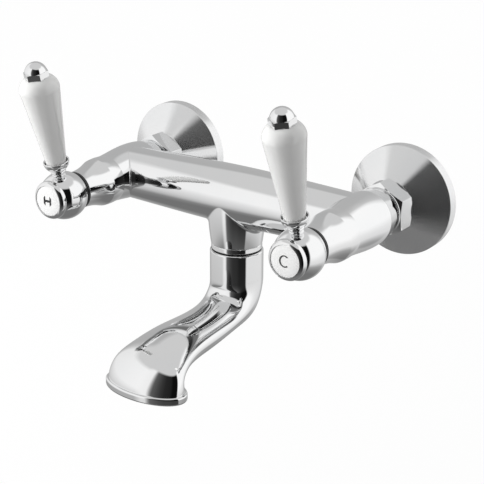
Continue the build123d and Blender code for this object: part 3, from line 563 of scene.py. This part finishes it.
def nut_shell(where, width, start, end, inner, cuts, face_radius, corner=0.35):
    """Hexagon about a place's axis, with a turned chamfer of its own depth at each end."""
    origin, axis, across = (np.asarray(v, float) for v in where)
    third = np.cross(axis, across)
    flat, flat_normals = hexagon(width, corner)
    size = np.linalg.norm(flat, axis=1)
    ways = flat / size[:, None]

    def place(points, along):
        along = np.broadcast_to(along, len(points))
        return origin + points[:, :1] * across + points[:, 1:] * third + along[:, None] * axis

    def lay(vectors, along):
        return unit(vectors[:, :1] * across + vectors[:, 1:] * third + along * axis)

    side = lay(flat_normals, 0)
    runs = []
    for edge, sign, depth in ((start, -1, cuts[0]), (end, 1, cuts[1])):
        slope = depth / (width / 2 / cos(radians(30)) - face_radius)
        cut = np.maximum(0.0, (size - face_radius) * slope)
        face_ring = place(ways * face_radius, edge)
        cone = lay(ways * slope, sign)
        flat_face = lay(ways * 0, sign)
        inner_ring = place(ways * inner, edge)
        cut_ring = place(flat, edge - sign * cut)
        run = [[(inner_ring, flat_face), (face_ring, flat_face)], [(face_ring, cone), (cut_ring, cone)]]
        runs.append((run, cut_ring))
    first, first_cut = runs[0]
    last, last_cut = runs[1]
    middle = [[(first_cut, side), (last_cut, side)]]
    back = [[pair for pair in reversed(part)] for part in reversed(last)]
    return skin(first + middle + back)


def thread_shell(x, radius, start, end, depth, steps=72):
    """A cut thread about an arm's axis: a ridge that climbs one pitch a turn."""
    per_turn = 10
    rows = int((end - start) / PITCH * per_turn)
    angles = np.arange(steps) * 2 * pi / steps
    rings = []
    for j in range(rows + 1):
        out = start + (end - start) * j / rows
        phase = (out / PITCH - angles / (2 * pi)) % 1.0
        dip = np.clip(np.abs(phase - 0.5) * 2.6 - 0.55, 0, 0.75) / 0.75
        lead = min(1.0, (out - start) / (0.9 * PITCH), (end - out) / (0.6 * PITCH))
        r = radius - depth * (dip * max(lead, 0.0) + (1 - max(lead, 0.0)))
        ring = np.column_stack((x + r * np.cos(angles), np.full(steps, -out), r * np.sin(angles)))
        rings.append(ring)
    grid = np.array(rings)
    around = np.roll(grid, -1, axis=1) - np.roll(grid, 1, axis=1)
    along = np.gradient(grid, axis=0)
    normals = unit(np.cross(around, along))
    centre = grid - np.array((x, 0, 0))
    centre[:, :, 1] = 0
    if (normals * centre).sum() < 0:
        normals = -normals
    return skin([[(grid[j], normals[j]) for j in range(rows + 1)]])


for side, x in SIDES:
    nut = nut_shell(arm_axis(x), NUT_WIDTH, NUT_START, NUT_END, NUT_BORE, (NUT_CORNER_CUT, NUT_CORNER_CUT),
                    NUT_FACE_RADIUS)
    make(f"{side}_rose_cover", [rose_shell(x)], "tap_body", "chrome", [f"{side}_rose"], MATERIALS["spun"])
    make(f"{side}_hex_nut", [nut], "tap_body", "chrome", [f"{side}_union_nut"])

    bore = rounded([(UNION_BORE, UNION_FRONT), (UNION_BORE, UNION_BACK), (WALL_THREAD_ROOT, UNION_BACK)])
    shells = [
        thread_shell(x, WALL_THREAD, UNION_BACK, UNION_THREAD_END, WALL_THREAD_DEPTH),
        thread_shell(x, NUT_THREAD, UNION_KEY_END, UNION_FRONT, NUT_THREAD_DEPTH),
        nut_shell(arm_axis(x), KEY_WIDTH, UNION_THREAD_END, UNION_KEY_END, KEY_BORE,
                  (KEY_CORNER_CUT, KEY_CORNER_CUT), KEY_FACE_RADIUS),
        turned(arm_axis(x), bore, 72),
    ]
    make(f"{side}_threaded_union", shells, "tap_body", "brass", [f"{side}_wall_union"], MATERIALS["plated"])


# Bonnet shields, hubs and discs

SHIELD_DRUM_RADIUS = 13.3
SHIELD_CREASE_RADIUS = 13.1
SHIELD_CREASE_OUT = ARM_FRONT + 8.2
SHIELD_SLOPE_RADIUS = 11.75
SHIELD_SLOPE_OUT = ARM_FRONT + 12.5
SHIELD_NOSE_RADIUS = 10.15
SHIELD_NOSE_OUT = SHIELD_END - 0.3
SHIELD_NOSE_ROUND = 0.29
SHIELD_BORE = 8.1
HUB_RADIUS = 13.0
HUB_BORE = 4.1
HUB_SOCKET = 6.2
BEZEL_SPIGOT = 6.0
BEZEL_RADIUS = 10.35
BEZEL_REAR_ROUND = 0.6
BEZEL_FLANK = HUB_FRONT + 1.1
BEZEL_CROWN = 2.8
BEZEL_WELL = 8.2
BEZEL_FLOOR = BEZEL_FRONT - 2.1
DISC_RADIUS = 8.1
DISC_DOME = 0.42
DISC_LENGTH = 2.0

for side, x in SIDES:
    lever = f"{side}_lever"
    arm = arm_axis(x)
    drum_spots = ((ARM_FRONT_RADIUS, ARM_FRONT), (SHIELD_DRUM_RADIUS, (ARM_FRONT + SHIELD_CREASE_OUT) / 2),
                  (SHIELD_CREASE_RADIUS, SHIELD_CREASE_OUT))
    drum_middle, drum_round = circle_through(*drum_spots)
    drum_start = np.degrees(np.arcsin((ARM_FRONT - drum_middle[1]) / drum_round))
    drum_stop = np.degrees(np.arcsin((SHIELD_CREASE_OUT - drum_middle[1]) / drum_round))
    drum = arc_run(drum_middle, drum_round, drum_start, drum_stop, 16)
    bell_spots = [drum_spots[2], (SHIELD_SLOPE_RADIUS, SHIELD_SLOPE_OUT),
                  (SHIELD_NOSE_RADIUS, SHIELD_NOSE_OUT)]
    bell_way = np.subtract(bell_spots[1], bell_spots[0])
    bell = curve_run(bell_spots, bell_way, (0.0, 1), 24)
    nose = rounded([bell_spots[2], (SHIELD_NOSE_RADIUS, SHIELD_END, SHIELD_NOSE_ROUND),
                    (SHIELD_BORE, SHIELD_END)])
    root = rounded([(0.0, ARM_FRONT), (ARM_FRONT_RADIUS, ARM_FRONT)])
    make(f"{side}_shield_bell", [turned(arm, root + [drum, bell] + nose, 144)], "tap_body", "chrome",
         [f"{side}_bonnet_shield"])

    rear_angle = -np.degrees(np.arcsin((HUB_OUT - HUB_REAR) / HUB_RADIUS))
    front_angle = np.degrees(np.arcsin((HUB_FRONT - HUB_OUT) / HUB_RADIUS))
    ball = arc_run((0, HUB_OUT), HUB_RADIUS, rear_angle, front_angle, 64)
    rear_face = rounded([(HUB_BORE, HUB_REAR), (ball[0][0][0], HUB_REAR)])
    front_face = rounded([(ball[-1][0][0], HUB_FRONT), (HUB_SOCKET, HUB_FRONT)])
    make(f"{side}_hub_ball", [turned(arm, rear_face + [ball] + front_face, 160)], lever, "chrome",
         [f"{side}_lever_hub"])

    crown_middle = BEZEL_RADIUS - BEZEL_CROWN
    crown_end = np.degrees(np.arccos((BEZEL_WELL - crown_middle) / BEZEL_CROWN))
    crown = arc_run((crown_middle, BEZEL_FLANK), BEZEL_CROWN, 0, crown_end, 24)
    rear = rounded([(BEZEL_SPIGOT, HUB_FRONT), (BEZEL_RADIUS, HUB_FRONT, BEZEL_REAR_ROUND),
                    (BEZEL_RADIUS, BEZEL_FLANK)])
    well = rounded([tuple(crown[-1][0]), (BEZEL_WELL, BEZEL_FLOOR), (0, BEZEL_FLOOR)])
    make(f"{side}_bezel_ring", [turned(arm, rear + [crown] + well, 128)], lever, "chrome",
         [f"{side}_index_bezel"])

    disc_edge = BEZEL_FRONT - DISC_DOME
    dome = curve_run([(DISC_RADIUS, disc_edge), (0.0, BEZEL_FRONT)], (-1, 0.2), (-1, 0), 24)
    edge = rounded([(DISC_RADIUS, BEZEL_FRONT - DISC_LENGTH), (DISC_RADIUS, disc_edge)])
    make(f"{side}_index_plate", [turned(arm, edge + [dome], 128)], lever, "white_glaze",
         [f"{side}_index_disc"], MATERIALS["disc_enamel"])


# Levers

# Outlines along a lever give (radius, distance from the hub's middle).
FOOT_RADIUS = 3.7
FOOT_START = 11.0
FOOT_END = 13.2
FOOT_ROUND = 0.4
NECK_START = 13.7
BEAD_SPOTS = ((3.1, 14.0), (4.1, 14.8), (3.2, 15.6))
CUP_START = 15.8
CUP_BOWL_SPOT = (5.4, 17.0)
CUP_RADIUS = 6.95
CUP_LIP_ROUND = 0.35
CUP_RIM = 20.8
CUP_FLOOR = 18.0
CUP_FLOOR_RADIUS = 5.3
HANDLE_START = 18.6
HANDLE_FOOT_RADIUS = 5.2
HANDLE_FOOT_ROUND = 0.6
HANDLE_SHOULDER_RADIUS = 10.5
HANDLE_SHOULDER = 62.6
HANDLE_CROWN_SPOT = (8.4, 68.0)
HANDLE_END = 69.5
HANDLE_TOP_RADIUS = 5.9
HANDLE_BORE = 2.2
CAP_RADIUS = 5.9
CAP_MIDDLE = 71.8
CAP_HEX_WIDTH = 11.5
CAP_HEX_END = 72.9
CAP_HEX_FACE_RADIUS = 5.9
CAP_HEX_CORNER_CUT = 0.4

for side, x in SIDES:
    lever = f"{side}_lever"
    place = lever_axis(x)
    low, _, high = BEAD_SPOTS
    bead_middle, bead_round = circle_through(*BEAD_SPOTS)
    first = np.degrees(np.arctan2(low[1] - bead_middle[1], low[0] - bead_middle[0]))
    last = np.degrees(np.arctan2(high[1] - bead_middle[1], high[0] - bead_middle[0]))
    foot = rounded([(FOOT_RADIUS, FOOT_START), (FOOT_RADIUS, FOOT_END, FOOT_ROUND), (low[0], NECK_START),
                    low])
    bead = arc_run(bead_middle, bead_round, first, last, 24)
    neck = rounded([high, (high[0], CUP_START)])
    bowl = curve_run([(high[0], CUP_START), CUP_BOWL_SPOT, (CUP_RADIUS, CUP_RIM)], (1, 0.15), (0, 1), 18)
    lip = arc_run((CUP_RADIUS - CUP_LIP_ROUND, CUP_RIM), CUP_LIP_ROUND, 0, 180, 12)
    cup_inside = rounded([(CUP_RADIUS - 2 * CUP_LIP_ROUND, CUP_RIM), (CUP_FLOOR_RADIUS, CUP_FLOOR),
                          (0, CUP_FLOOR)])
    cup = turned(place, foot + [bead] + neck + [bowl, lip] + cup_inside, 96)
    make(f"{side}_cup_turning", [cup], lever, "chrome", [f"{side}_lever_cup"])

    flank_way = unit((HANDLE_SHOULDER_RADIUS - HANDLE_FOOT_RADIUS, HANDLE_SHOULDER - HANDLE_START))
    shoulder = curve_run([(HANDLE_SHOULDER_RADIUS, HANDLE_SHOULDER), HANDLE_CROWN_SPOT,
                          (HANDLE_TOP_RADIUS, HANDLE_END)], flank_way, (-1, 0.15), 20)
    flank = rounded([(HANDLE_BORE, HANDLE_START), (HANDLE_FOOT_RADIUS, HANDLE_START, HANDLE_FOOT_ROUND),
                     (HANDLE_SHOULDER_RADIUS, HANDLE_SHOULDER)])
    top = rounded([(HANDLE_TOP_RADIUS, HANDLE_END), (HANDLE_BORE, HANDLE_END)])
    make(f"{side}_ceramic_handle", [turned(place, flank + [shoulder] + top, 128)], lever, "white_glaze",
         [f"{side}_lever_handle"])

    dome_start = np.degrees(np.arcsin((CAP_HEX_END - CAP_MIDDLE) / CAP_RADIUS))
    dome = arc_run((0, CAP_MIDDLE), CAP_RADIUS, dome_start, 90, 40)
    cap_hexagon = nut_shell(place, CAP_HEX_WIDTH, HANDLE_END, CAP_HEX_END, HANDLE_BORE,
                            (0.0, CAP_HEX_CORNER_CUT), CAP_HEX_FACE_RADIUS, 0.15)
    make(f"{side}_cap_nut", [turned(place, [dome], 96), cap_hexagon], lever, "chrome", [f"{side}_lever_knob"])


# Spout

ELBOW_TURN = radians(84.0)
ELBOW_RADIUS = 16.5
ELBOW_LEAD = 2.0
TUBE_RADIUS = 14.6
TUBE_TOP_ROUND = 1.0
TURN_RADIUS = 11.0
BILL_LENGTH = 55.4
MOUTH_HALF_WIDTH = 23.2
MOUTH_HALF_DEPTH = 11.5
LIP = 4.3
LIP_REACH = 1.5
LIP_ROUND = 1.1
SPOUT_WALL = 2.3
MOUTH_LEDGE = 0.2
NIPPLE_BORE = 10.15
RING_STEPS = 160

# Half width and half height at shares of the elbow's turn, of the bill's length and of the last turn.
ELBOW_SECTIONS = ((0.0, TUBE_RADIUS, TUBE_RADIUS), (0.5, 14.9, 12.0), (1.0, 14.4, 9.2))
BILL_SECTIONS = ((0.5, 15.7, 9.2), (1.0, 19.6, 8.7))
MOUTH_SECTIONS = ((0.5, 21.9, 9.0), (0.0, MOUTH_HALF_WIDTH, MOUTH_HALF_DEPTH))


def spout_stations():
    """Out, down, turn and half sizes of the spout at each station of its bend, and the mouth's middle."""
    rows = [(BODY_OUT, ELBOW_DOWN - ELBOW_LEAD, 0.0, TUBE_RADIUS, TUBE_RADIUS)]
    for share, half_width, half_height in ELBOW_SECTIONS:
        angle = share * ELBOW_TURN
        out = BODY_OUT + ELBOW_RADIUS * (1 - cos(angle))
        down = ELBOW_DOWN + ELBOW_RADIUS * sin(angle)
        rows.append((out, down, angle, half_width, half_height))
    throat_out, throat_down = out, down
    for share, half_width, half_height in BILL_SECTIONS:
        out = throat_out + share * BILL_LENGTH * sin(ELBOW_TURN)
        down = throat_down + share * BILL_LENGTH * cos(ELBOW_TURN)
        rows.append((out, down, ELBOW_TURN, half_width, half_height))
    mouth_out = out + TURN_RADIUS * (1 - cos(ELBOW_TURN))
    mouth_down = down + TURN_RADIUS * sin(ELBOW_TURN)
    for share, half_width, half_height in MOUTH_SECTIONS:
        left = share * ELBOW_TURN
        out = mouth_out - TURN_RADIUS * (1 - cos(left))
        down = mouth_down - TURN_RADIUS * sin(left)
        rows.append((out, down, left, half_width, half_height))
    rows.append((mouth_out, mouth_down + LIP / 2, 0.0, MOUTH_HALF_WIDTH, MOUTH_HALF_DEPTH))
    return rows, mouth_out, mouth_down


STATIONS, MOUTH_OUT, MOUTH_DOWN = spout_stations()


def ellipse(out, down, angle, half_width, half_height):
    """A ring across the waterway, starting at +X and going by the front."""
    angles = np.arange(RING_STEPS) * 2 * pi / RING_STEPS
    front = np.array((0, -cos(angle), sin(angle)))
    return (np.array((0, -out, -down)) + np.cos(angles)[:, None] * half_width * np.array((1.0, 0, 0))
            + np.sin(angles)[:, None] * half_height * front)


def grid_run(rings, flip=False):
    """A run of rings with normals from the surface itself."""
    grid = np.array(rings)
    around = np.roll(grid, -1, axis=1) - np.roll(grid, 1, axis=1)
    along = np.empty_like(grid)
    along[1:-1] = grid[2:] - grid[:-2]
    along[0] = -3 * grid[0] + 4 * grid[1] - grid[2]
    along[-1] = 3 * grid[-1] - 4 * grid[-2] + grid[-3]
    normals = unit(np.cross(around, along))
    middle = grid.mean(axis=1, keepdims=True)
    if ((grid - middle) * normals).sum() < 0:
        normals = -normals
    if flip:
        normals = -normals
    return [(grid[j], normals[j]) for j in range(len(grid))]


def bend_rings(inset, bits):
    """Rings along the bend, set in from its skin."""
    rings = [ellipse(out, down, angle, w - inset, h - inset) for out, down, angle, w, h in STATIONS]
    spans = [np.linalg.norm(b - a, axis=1).mean() for a, b in zip(rings, rings[1:])]
    knots = np.concatenate(([0], np.cumsum(spans)))
    start = np.tile(np.array((0, 0, -1.0)), RING_STEPS)
    places, _ = spline([ring.reshape(-1) for ring in rings], start, None, knots, bits)
    return places.reshape(len(places), RING_STEPS, 3)


def lip_runs():
    """The bead round the mouth: an outline of (reach past the opening, down), carried round the oval."""
    inside = MOUTH_HALF_WIDTH - SPOUT_WALL - MOUTH_LEDGE
    outside = MOUTH_HALF_WIDTH + LIP_REACH
    outline = rounded([(MOUTH_HALF_WIDTH, 0), (outside, 0, LIP_ROUND), (outside, LIP, LIP_ROUND),
                       (inside, LIP, 0.12), (inside, LIP / 2), (inside + MOUTH_LEDGE, LIP / 2)])
    angles = np.arange(RING_STEPS) * 2 * pi / RING_STEPS
    runs = []
    for run in outline:
        rings = []
        for spot, way in run:
            depth = spot[0] - (MOUTH_HALF_WIDTH - MOUTH_HALF_DEPTH)
            ring = ellipse(MOUTH_OUT, MOUTH_DOWN + spot[1], 0.0, spot[0], depth)
            out = np.column_stack((depth * np.cos(angles), -spot[0] * np.sin(angles), np.zeros(RING_STEPS)))
            rings.append((ring, unit(way[1] * unit(out) + way[0] * np.array((0, 0, 1.0)))))
        runs.append(rings)
    return runs


def turned_runs(outline):
    """Runs of rings of the upright tube, on the same points as the bend."""
    runs = []
    angles = np.arange(RING_STEPS) * 2 * pi / RING_STEPS
    spokes = np.column_stack((np.cos(angles), -np.sin(angles), np.zeros(RING_STEPS)))
    for run in outline:
        runs.append([(ellipse(BODY_OUT, spot[1], 0.0, spot[0], spot[0]),
                      unit(way[1] * spokes + way[0] * np.array((0, 0, 1.0)))) for spot, way in run])
    return runs


tube_end = STATIONS[0][1]
upright = turned_runs(rounded([(NIPPLE_BORE, SPOUT_TOP), (TUBE_RADIUS, SPOUT_TOP, TUBE_TOP_ROUND),
                               (TUBE_RADIUS, tube_end)]))
outer_bend = grid_run(bend_rings(0.0, 22))
inner_bend = grid_run(bend_rings(SPOUT_WALL, 14), flip=True)[::-1]
inner_radius = TUBE_RADIUS - SPOUT_WALL
throat = turned_runs(rounded([(inner_radius, tube_end), (NIPPLE_BORE, tube_end), (NIPPLE_BORE, SPOUT_TOP)]))
spout_shell = skin(upright + [outer_bend] + lip_runs() + [inner_bend] + throat)
make("spout_casting", [spout_shell], "spout_body", "chrome", ["spout"])


# Marks on the index discs

MARK_WIDTH = 1.4
MARK_HEIGHT = 0.09
MARK_SUNK = 0.02
LETTER_REACH_UP = 3.1
H_REACH = 2.1
C_REACH = 2.75
# Across a stroke and up it, in shares of its width and height.
MARK_SECTION = ((-0.5, 0.0), (-0.48, 0.7), (-0.44, 1.0), (0.44, 1.0), (0.48, 0.7), (0.5, 0.0))


def mark_shell(x, points):
    """A raised stroke on a disc of one lever: a flat ribbon with soft edges that follows the dome."""
    p = np.array(points, float)
    way = unit(np.gradient(p, axis=0))
    across = np.column_stack((-way[:, 1], way[:, 0]))
    placed = []
    for spot, side_way in zip(p, across):
        flat = np.array([spot + side_way * u * MARK_WIDTH for u, v in MARK_SECTION])
        lift = np.array([v * MARK_HEIGHT for u, v in MARK_SECTION])
        dip = DISC_DOME * (flat**2).sum(axis=1) / DISC_RADIUS**2
        out = BEZEL_FRONT - dip + lift - MARK_SUNK
        placed.append(np.column_stack((x + flat[:, 0], -out, flat[:, 1])))
    verts = np.concatenate(placed)
    count = len(MARK_SECTION)
    faces = []
    for j in range(len(placed) - 1):
        for k in range(count - 1):
            a = j * count + k
            faces.append([a, a + 1, a + count + 1, a + count])
    faces.append(list(range(count)))
    faces.append([len(verts) - count + k for k in reversed(range(count))])
    normals = []
    for face in faces:
        a, b, c = verts[face[0]], verts[face[1]], verts[face[2]]
        normals.append([unit(np.cross(b - a, c - b))] * len(face))
    if sum(-corner[0][1] for corner in normals[:-2]) < 0:
        faces = [face[::-1] for face in faces]
        normals = [[-n for n in corner] for corner in normals]
    return verts, faces, normals


def letter_h():
    rows = np.linspace(-LETTER_REACH_UP, LETTER_REACH_UP, 9)
    left = [(-H_REACH, v) for v in rows]
    right = [(H_REACH, v) for v in rows]
    cross = [(u, 0.0) for u in np.linspace(-H_REACH, H_REACH, 7)]
    return [left, right, cross]


def letter_c():
    return [[(C_REACH * cos(radians(a)), LETTER_REACH_UP * sin(radians(a))) for a in range(48, 313, 8)]]


for (side, x), strokes in zip(SIDES, (letter_h(), letter_c())):
    make(f"{side}_mark", [mark_shell(x, points) for points in strokes], f"{side}_lever", "white_glaze",
         material=MARK_INK)


# Studio

# From here on sizes are in metres and levels are those of light. Azimuths go from the
# front towards +X, in degrees, and elevations up from the level.
CENTRE = np.array((0.0, -0.08, 0.0))
FLOOR = -0.30
FLOOR_RADIUS = 30.0
TABLE_DROP = 0.296
FLAG_REACH = 0.98
FLOOR_WHITE = 0.88
LAMP_AZIMUTH = -52
LAMP_ELEVATION = 17
LAMP_REACH = 1.3
LAMP_SIZE = 0.5
LAMP_POWER = 9.0
CEILING_LEVEL = 0.67
TABLE_LEVEL = 0.186
PHOTO_WIDTH = 484.0
SENSOR_WIDTH = 36.0
FOCAL_PIXELS = 1359.33
CAMERA_SPOT = (0.39979, -0.61475, 0.23055)


def stage_mesh(name, verts, faces, uvs, material):
    mesh = bpy.data.meshes.new(name)
    mesh.from_pydata([tuple(v) for v in verts], [], faces)
    layer = mesh.uv_layers.new(name="UVMap")
    for loop in mesh.loops:
        layer.data[loop.index].uv = uvs[loop.vertex_index]
    mesh.materials.append(material)
    obj = bpy.data.objects.new(name, mesh)
    bpy.context.scene.collection.objects.link(obj)
    return obj


def grid_mesh(name, point, rows, columns, material):
    verts, uvs, faces = [], [], []
    for j in range(rows + 1):
        for k in range(columns + 1):
            u, v = k / columns, j / rows
            verts.append(point(u, v))
            uvs.append((u, v))
    for j in range(rows):
        for k in range(columns):
            a = j * (columns + 1) + k
            faces.append([a, a + 1, a + columns + 2, a + columns + 1])
    return stage_mesh(name, verts, faces, uvs, material)


def ramp_node(tree, stops):
    ramp = node(tree, "ShaderNodeValToRGB")
    elements = ramp.color_ramp.elements
    while len(elements) < len(stops):
        elements.new(0.5)
    for element, (position, level) in zip(elements, stops):
        element.position = position
        element.color = (level, level, level, 1)
    return ramp


def flat_light(name, level):
    """A plain level of light towards the tap, clear from outside."""
    material = bpy.data.materials.new(name)
    material.use_nodes = True
    tree = material.node_tree
    tree.nodes.clear()
    light = node(tree, "ShaderNodeEmission")
    light.inputs["Color"].default_value = (level, level, level, 1)
    clear = node(tree, "ShaderNodeBsdfTransparent")
    facing = node(tree, "ShaderNodeNewGeometry")
    mix = node(tree, "ShaderNodeMixShader")
    tree.links.new(facing.outputs["Backfacing"], mix.inputs["Fac"])
    tree.links.new(clear.outputs["BSDF"], mix.inputs[1])
    tree.links.new(light.outputs["Emission"], mix.inputs[2])
    out = node(tree, "ShaderNodeOutputMaterial")
    tree.links.new(mix.outputs["Shader"], out.inputs["Surface"])
    return material


def room_material(name, walls, ceiling, table, zones):
    """Light of the studio room: levels round its walls, and one level each for its ceiling and its table.

    Each zone gives where it holds round the room, and the fades of the ceiling and the table up its walls."""
    material = bpy.data.materials.new(name)
    material.use_nodes = True
    tree = material.node_tree
    tree.nodes.clear()
    place = node(tree, "ShaderNodeUVMap")
    split = node(tree, "ShaderNodeSeparateXYZ")
    tree.links.new(place.outputs["UV"], split.inputs["Vector"])

    def ramp_along(way, stops):
        ramp = ramp_node(tree, stops)
        tree.links.new(split.outputs[way], ramp.inputs["Fac"])
        return ramp.outputs["Color"]

    def mixed(share, first, second):
        mix = node(tree, "ShaderNodeMixRGB")
        tree.links.new(share, mix.inputs["Fac"])
        tree.links.new(first, mix.inputs["Color1"])
        if isinstance(second, float):
            mix.inputs["Color2"].default_value = (second, second, second, 1)
        else:
            tree.links.new(second, mix.inputs["Color2"])
        return mix.outputs["Color"]

    result = ramp_along("X", walls)
    for level, kind in ((ceiling, 1), (table, 2)):
        fade = ramp_along("Y", zones[0][kind])
        for zone in zones[1:]:
            fade = mixed(ramp_along("X", zone[0]), fade, ramp_along("Y", zone[kind]))
        result = mixed(fade, result, level)
    light = node(tree, "ShaderNodeEmission")
    tree.links.new(result, light.inputs["Color"])
    out = node(tree, "ShaderNodeOutputMaterial")
    tree.links.new(light.outputs["Emission"], out.inputs["Surface"])
    return material


def way_to(azimuth, elevation):
    a, e = radians(azimuth), radians(elevation)
    return np.array((sin(a) * cos(e), -cos(a) * cos(e), sin(e)))


def room_point(azimuth, elevation, reach=1.0):
    """A point of the studio's shell: a ball round the tap, cut off flat by the table under it."""
    if elevation < 0:
        reach = min(reach, TABLE_DROP / sin(radians(-elevation)))
    return CENTRE + reach * way_to(azimuth, elevation)


def stops_of(stops, low, high):
    return [((a - low) / (high - low), level) for a, level in stops]


def round_room(*stops):
    return stops_of(stops, -180, 180)


def up_walls(*stops):
    return stops_of(stops, -90, 90)


# Each zone: where it holds round the room, then the fades of the ceiling and of the table up its walls.
front_zone = (None, up_walls((-90, 0), (44, 0), (50, 1), (90, 1)),
              up_walls((-90, 1), (-60, 1), (-45, 0.6), (-35, 0.3), (-26, 0.08), (-18, 0), (90, 0)))
left_zone = (round_room((-180, 0), (-125, 0), (-105, 1), (-30, 1), (-20, 0), (180, 0)),
             up_walls((-90, 0), (38, 0), (46, 1), (90, 1)),
             up_walls((-90, 1), (-45, 1), (-37, 0.9), (-30, 0.55), (-22, 0.36), (-10, 0.2), (2, 0), (90, 0)))
right_zone = (round_room((-180, 0), (76, 0), (79, 1), (158, 1), (172, 0), (180, 0)),
              up_walls((-90, 0), (50, 0), (58, 1), (90, 1)),
              up_walls((-90, 1), (-55, 1), (-45, 0.93), (-35, 0.78), (-25, 0.3), (-15, 0.2), (-5, 0.05),
                       (0, 0), (90, 0)))
walls = round_room((-180, 0.55), (-165, 0.49), (-120, 0.47), (-112, 0.62), (-104, 0.88), (-60, 0.95),
                   (-28, 1.0), (-14, 0.95), (-9, 0.3), (-6, 0.11), (2, 0.07), (10, 0.04), (20, 0.022),
                   (38, 0.016), (48, 0.005), (75, 0.004), (77, 0.3), (80, 1.06), (158, 1.06), (166, 0.85),
                   (172, 0.62), (180, 0.55))
room = room_material("studio_room", walls, CEILING_LEVEL, TABLE_LEVEL, (front_zone, left_zone, right_zone))
shell = grid_mesh("studio_room", lambda u, v: room_point(-180 + 360 * u, -90 + 180 * v), 90, 96, room)
shell.visible_camera = False
shell.visible_diffuse = False
shell.visible_shadow = False

# Dull finishes don't see the shell, so flags give them its darker sides.
# Each has a name, its azimuths, its elevations and its level.
FLAGS = (("front_flag", 10, 100, -17, 46, 0.15),
         ("ceiling_flag", -180, 180, 46, 90, 0.65),
         ("table_flag", -180, 180, -90, -30, 0.25))


def flag_mesh(name, low, high, bottom, top, level):
    def point(u, v):
        return room_point(low + (high - low) * u, bottom + (top - bottom) * v, FLAG_REACH)

    return grid_mesh(name, point, 12, 48, flat_light(name, level))


for row in FLAGS:
    flag = flag_mesh(*row)
    flag.visible_camera = False
    flag.visible_glossy = False
    flag.visible_shadow = row[0] != "table_flag"


def disc_mesh(name, middle, radius, material, steps=64):
    verts = [middle]
    uvs = [(0.5, 0.5)]
    for k in range(steps):
        a = 2 * pi * k / steps
        verts.append(middle + radius * np.array((cos(a), sin(a), 0)))
        uvs.append((0.5 + 0.5 * cos(a), 0.5 + 0.5 * sin(a)))
    faces = [[0, 1 + k, 1 + (k + 1) % steps] for k in range(steps)]
    return stage_mesh(name, verts, faces, uvs, material)


def standing(side_way, up_way, back_way, spot):
    """The matrix of a lamp or a camera that looks away from its back."""
    rows = [[side_way[k], up_way[k], back_way[k], spot[k]] for k in range(3)]
    return Matrix(rows + [[0, 0, 0, 1]])


lamp = bpy.data.lights.new("side_lamp", "AREA")
lamp.shape = "DISK"
lamp.size = LAMP_SIZE
lamp.energy = LAMP_POWER
side_lamp = bpy.data.objects.new("side_lamp", lamp)
bpy.context.scene.collection.objects.link(side_lamp)
lamp_way = way_to(LAMP_AZIMUTH, LAMP_ELEVATION)
lamp_side = unit(np.cross((0, 0, 1.0), lamp_way))
side_lamp.matrix_world = standing(lamp_side, np.cross(lamp_way, lamp_side), lamp_way,
                                  CENTRE + LAMP_REACH * lamp_way)
side_lamp.visible_camera = False
side_lamp.visible_glossy = False

# The camera sees the floor nearly white, with a share of its shading left for the shadow.
floor_material = bpy.data.materials.new("pale_floor")
floor_material.use_nodes = True
floor_tree = floor_material.node_tree
floor_shader = floor_tree.nodes["Principled BSDF"]
floor_shader.inputs["Base Color"].default_value = (0.93, 0.93, 0.93, 1)
floor_shader.inputs["Roughness"].default_value = 0.8
white = node(floor_tree, "ShaderNodeEmission")
white.inputs["Color"].default_value = (1, 1, 1, 1)
path = node(floor_tree, "ShaderNodeLightPath")
seen = node(floor_tree, "ShaderNodeMath", operation="MULTIPLY")
floor_tree.links.new(path.outputs["Is Camera Ray"], seen.inputs[0])
seen.inputs[1].default_value = FLOOR_WHITE
blend = node(floor_tree, "ShaderNodeMixShader")
floor_tree.links.new(seen.outputs["Value"], blend.inputs["Fac"])
floor_tree.links.new(floor_shader.outputs["BSDF"], blend.inputs[1])
floor_tree.links.new(white.outputs["Emission"], blend.inputs[2])
floor_tree.links.new(blend.outputs["Shader"], floor_tree.nodes["Material Output"].inputs["Surface"])
disc_mesh("floor", np.array((0.0, 0.0, FLOOR)), FLOOR_RADIUS, floor_material, 96)

world = bpy.data.worlds.new("plain_white")
bpy.context.scene.world = world
world.use_nodes = True
world.node_tree.nodes["Background"].inputs["Color"].default_value = (1, 1, 1, 1)
world.node_tree.nodes["Background"].inputs["Strength"].default_value = 1.0
bpy.context.scene.view_settings.view_transform = "Standard"

# The camera stands where the photograph was taken from, with no shift.
yaw, pitch, roll = 0.6119, 0.3561, 0.0053
ahead = np.array((-sin(yaw) * cos(pitch), cos(yaw) * cos(pitch), -sin(pitch)))
level = np.array((cos(yaw), sin(yaw), 0.0))
above = np.cross(level, ahead)
right = level * cos(roll) + above * sin(roll)
up = -level * sin(roll) + above * cos(roll)
lens = bpy.data.cameras.new("photo_camera")
lens.sensor_width = SENSOR_WIDTH
lens.lens = FOCAL_PIXELS * SENSOR_WIDTH / PHOTO_WIDTH
lens.clip_start = 0.05
lens.clip_end = 100.0
camera = bpy.data.objects.new("photo_camera", lens)
bpy.context.scene.collection.objects.link(camera)
camera.matrix_world = standing(right, up, -ahead, CAMERA_SPOT)
bpy.context.scene.camera = camera
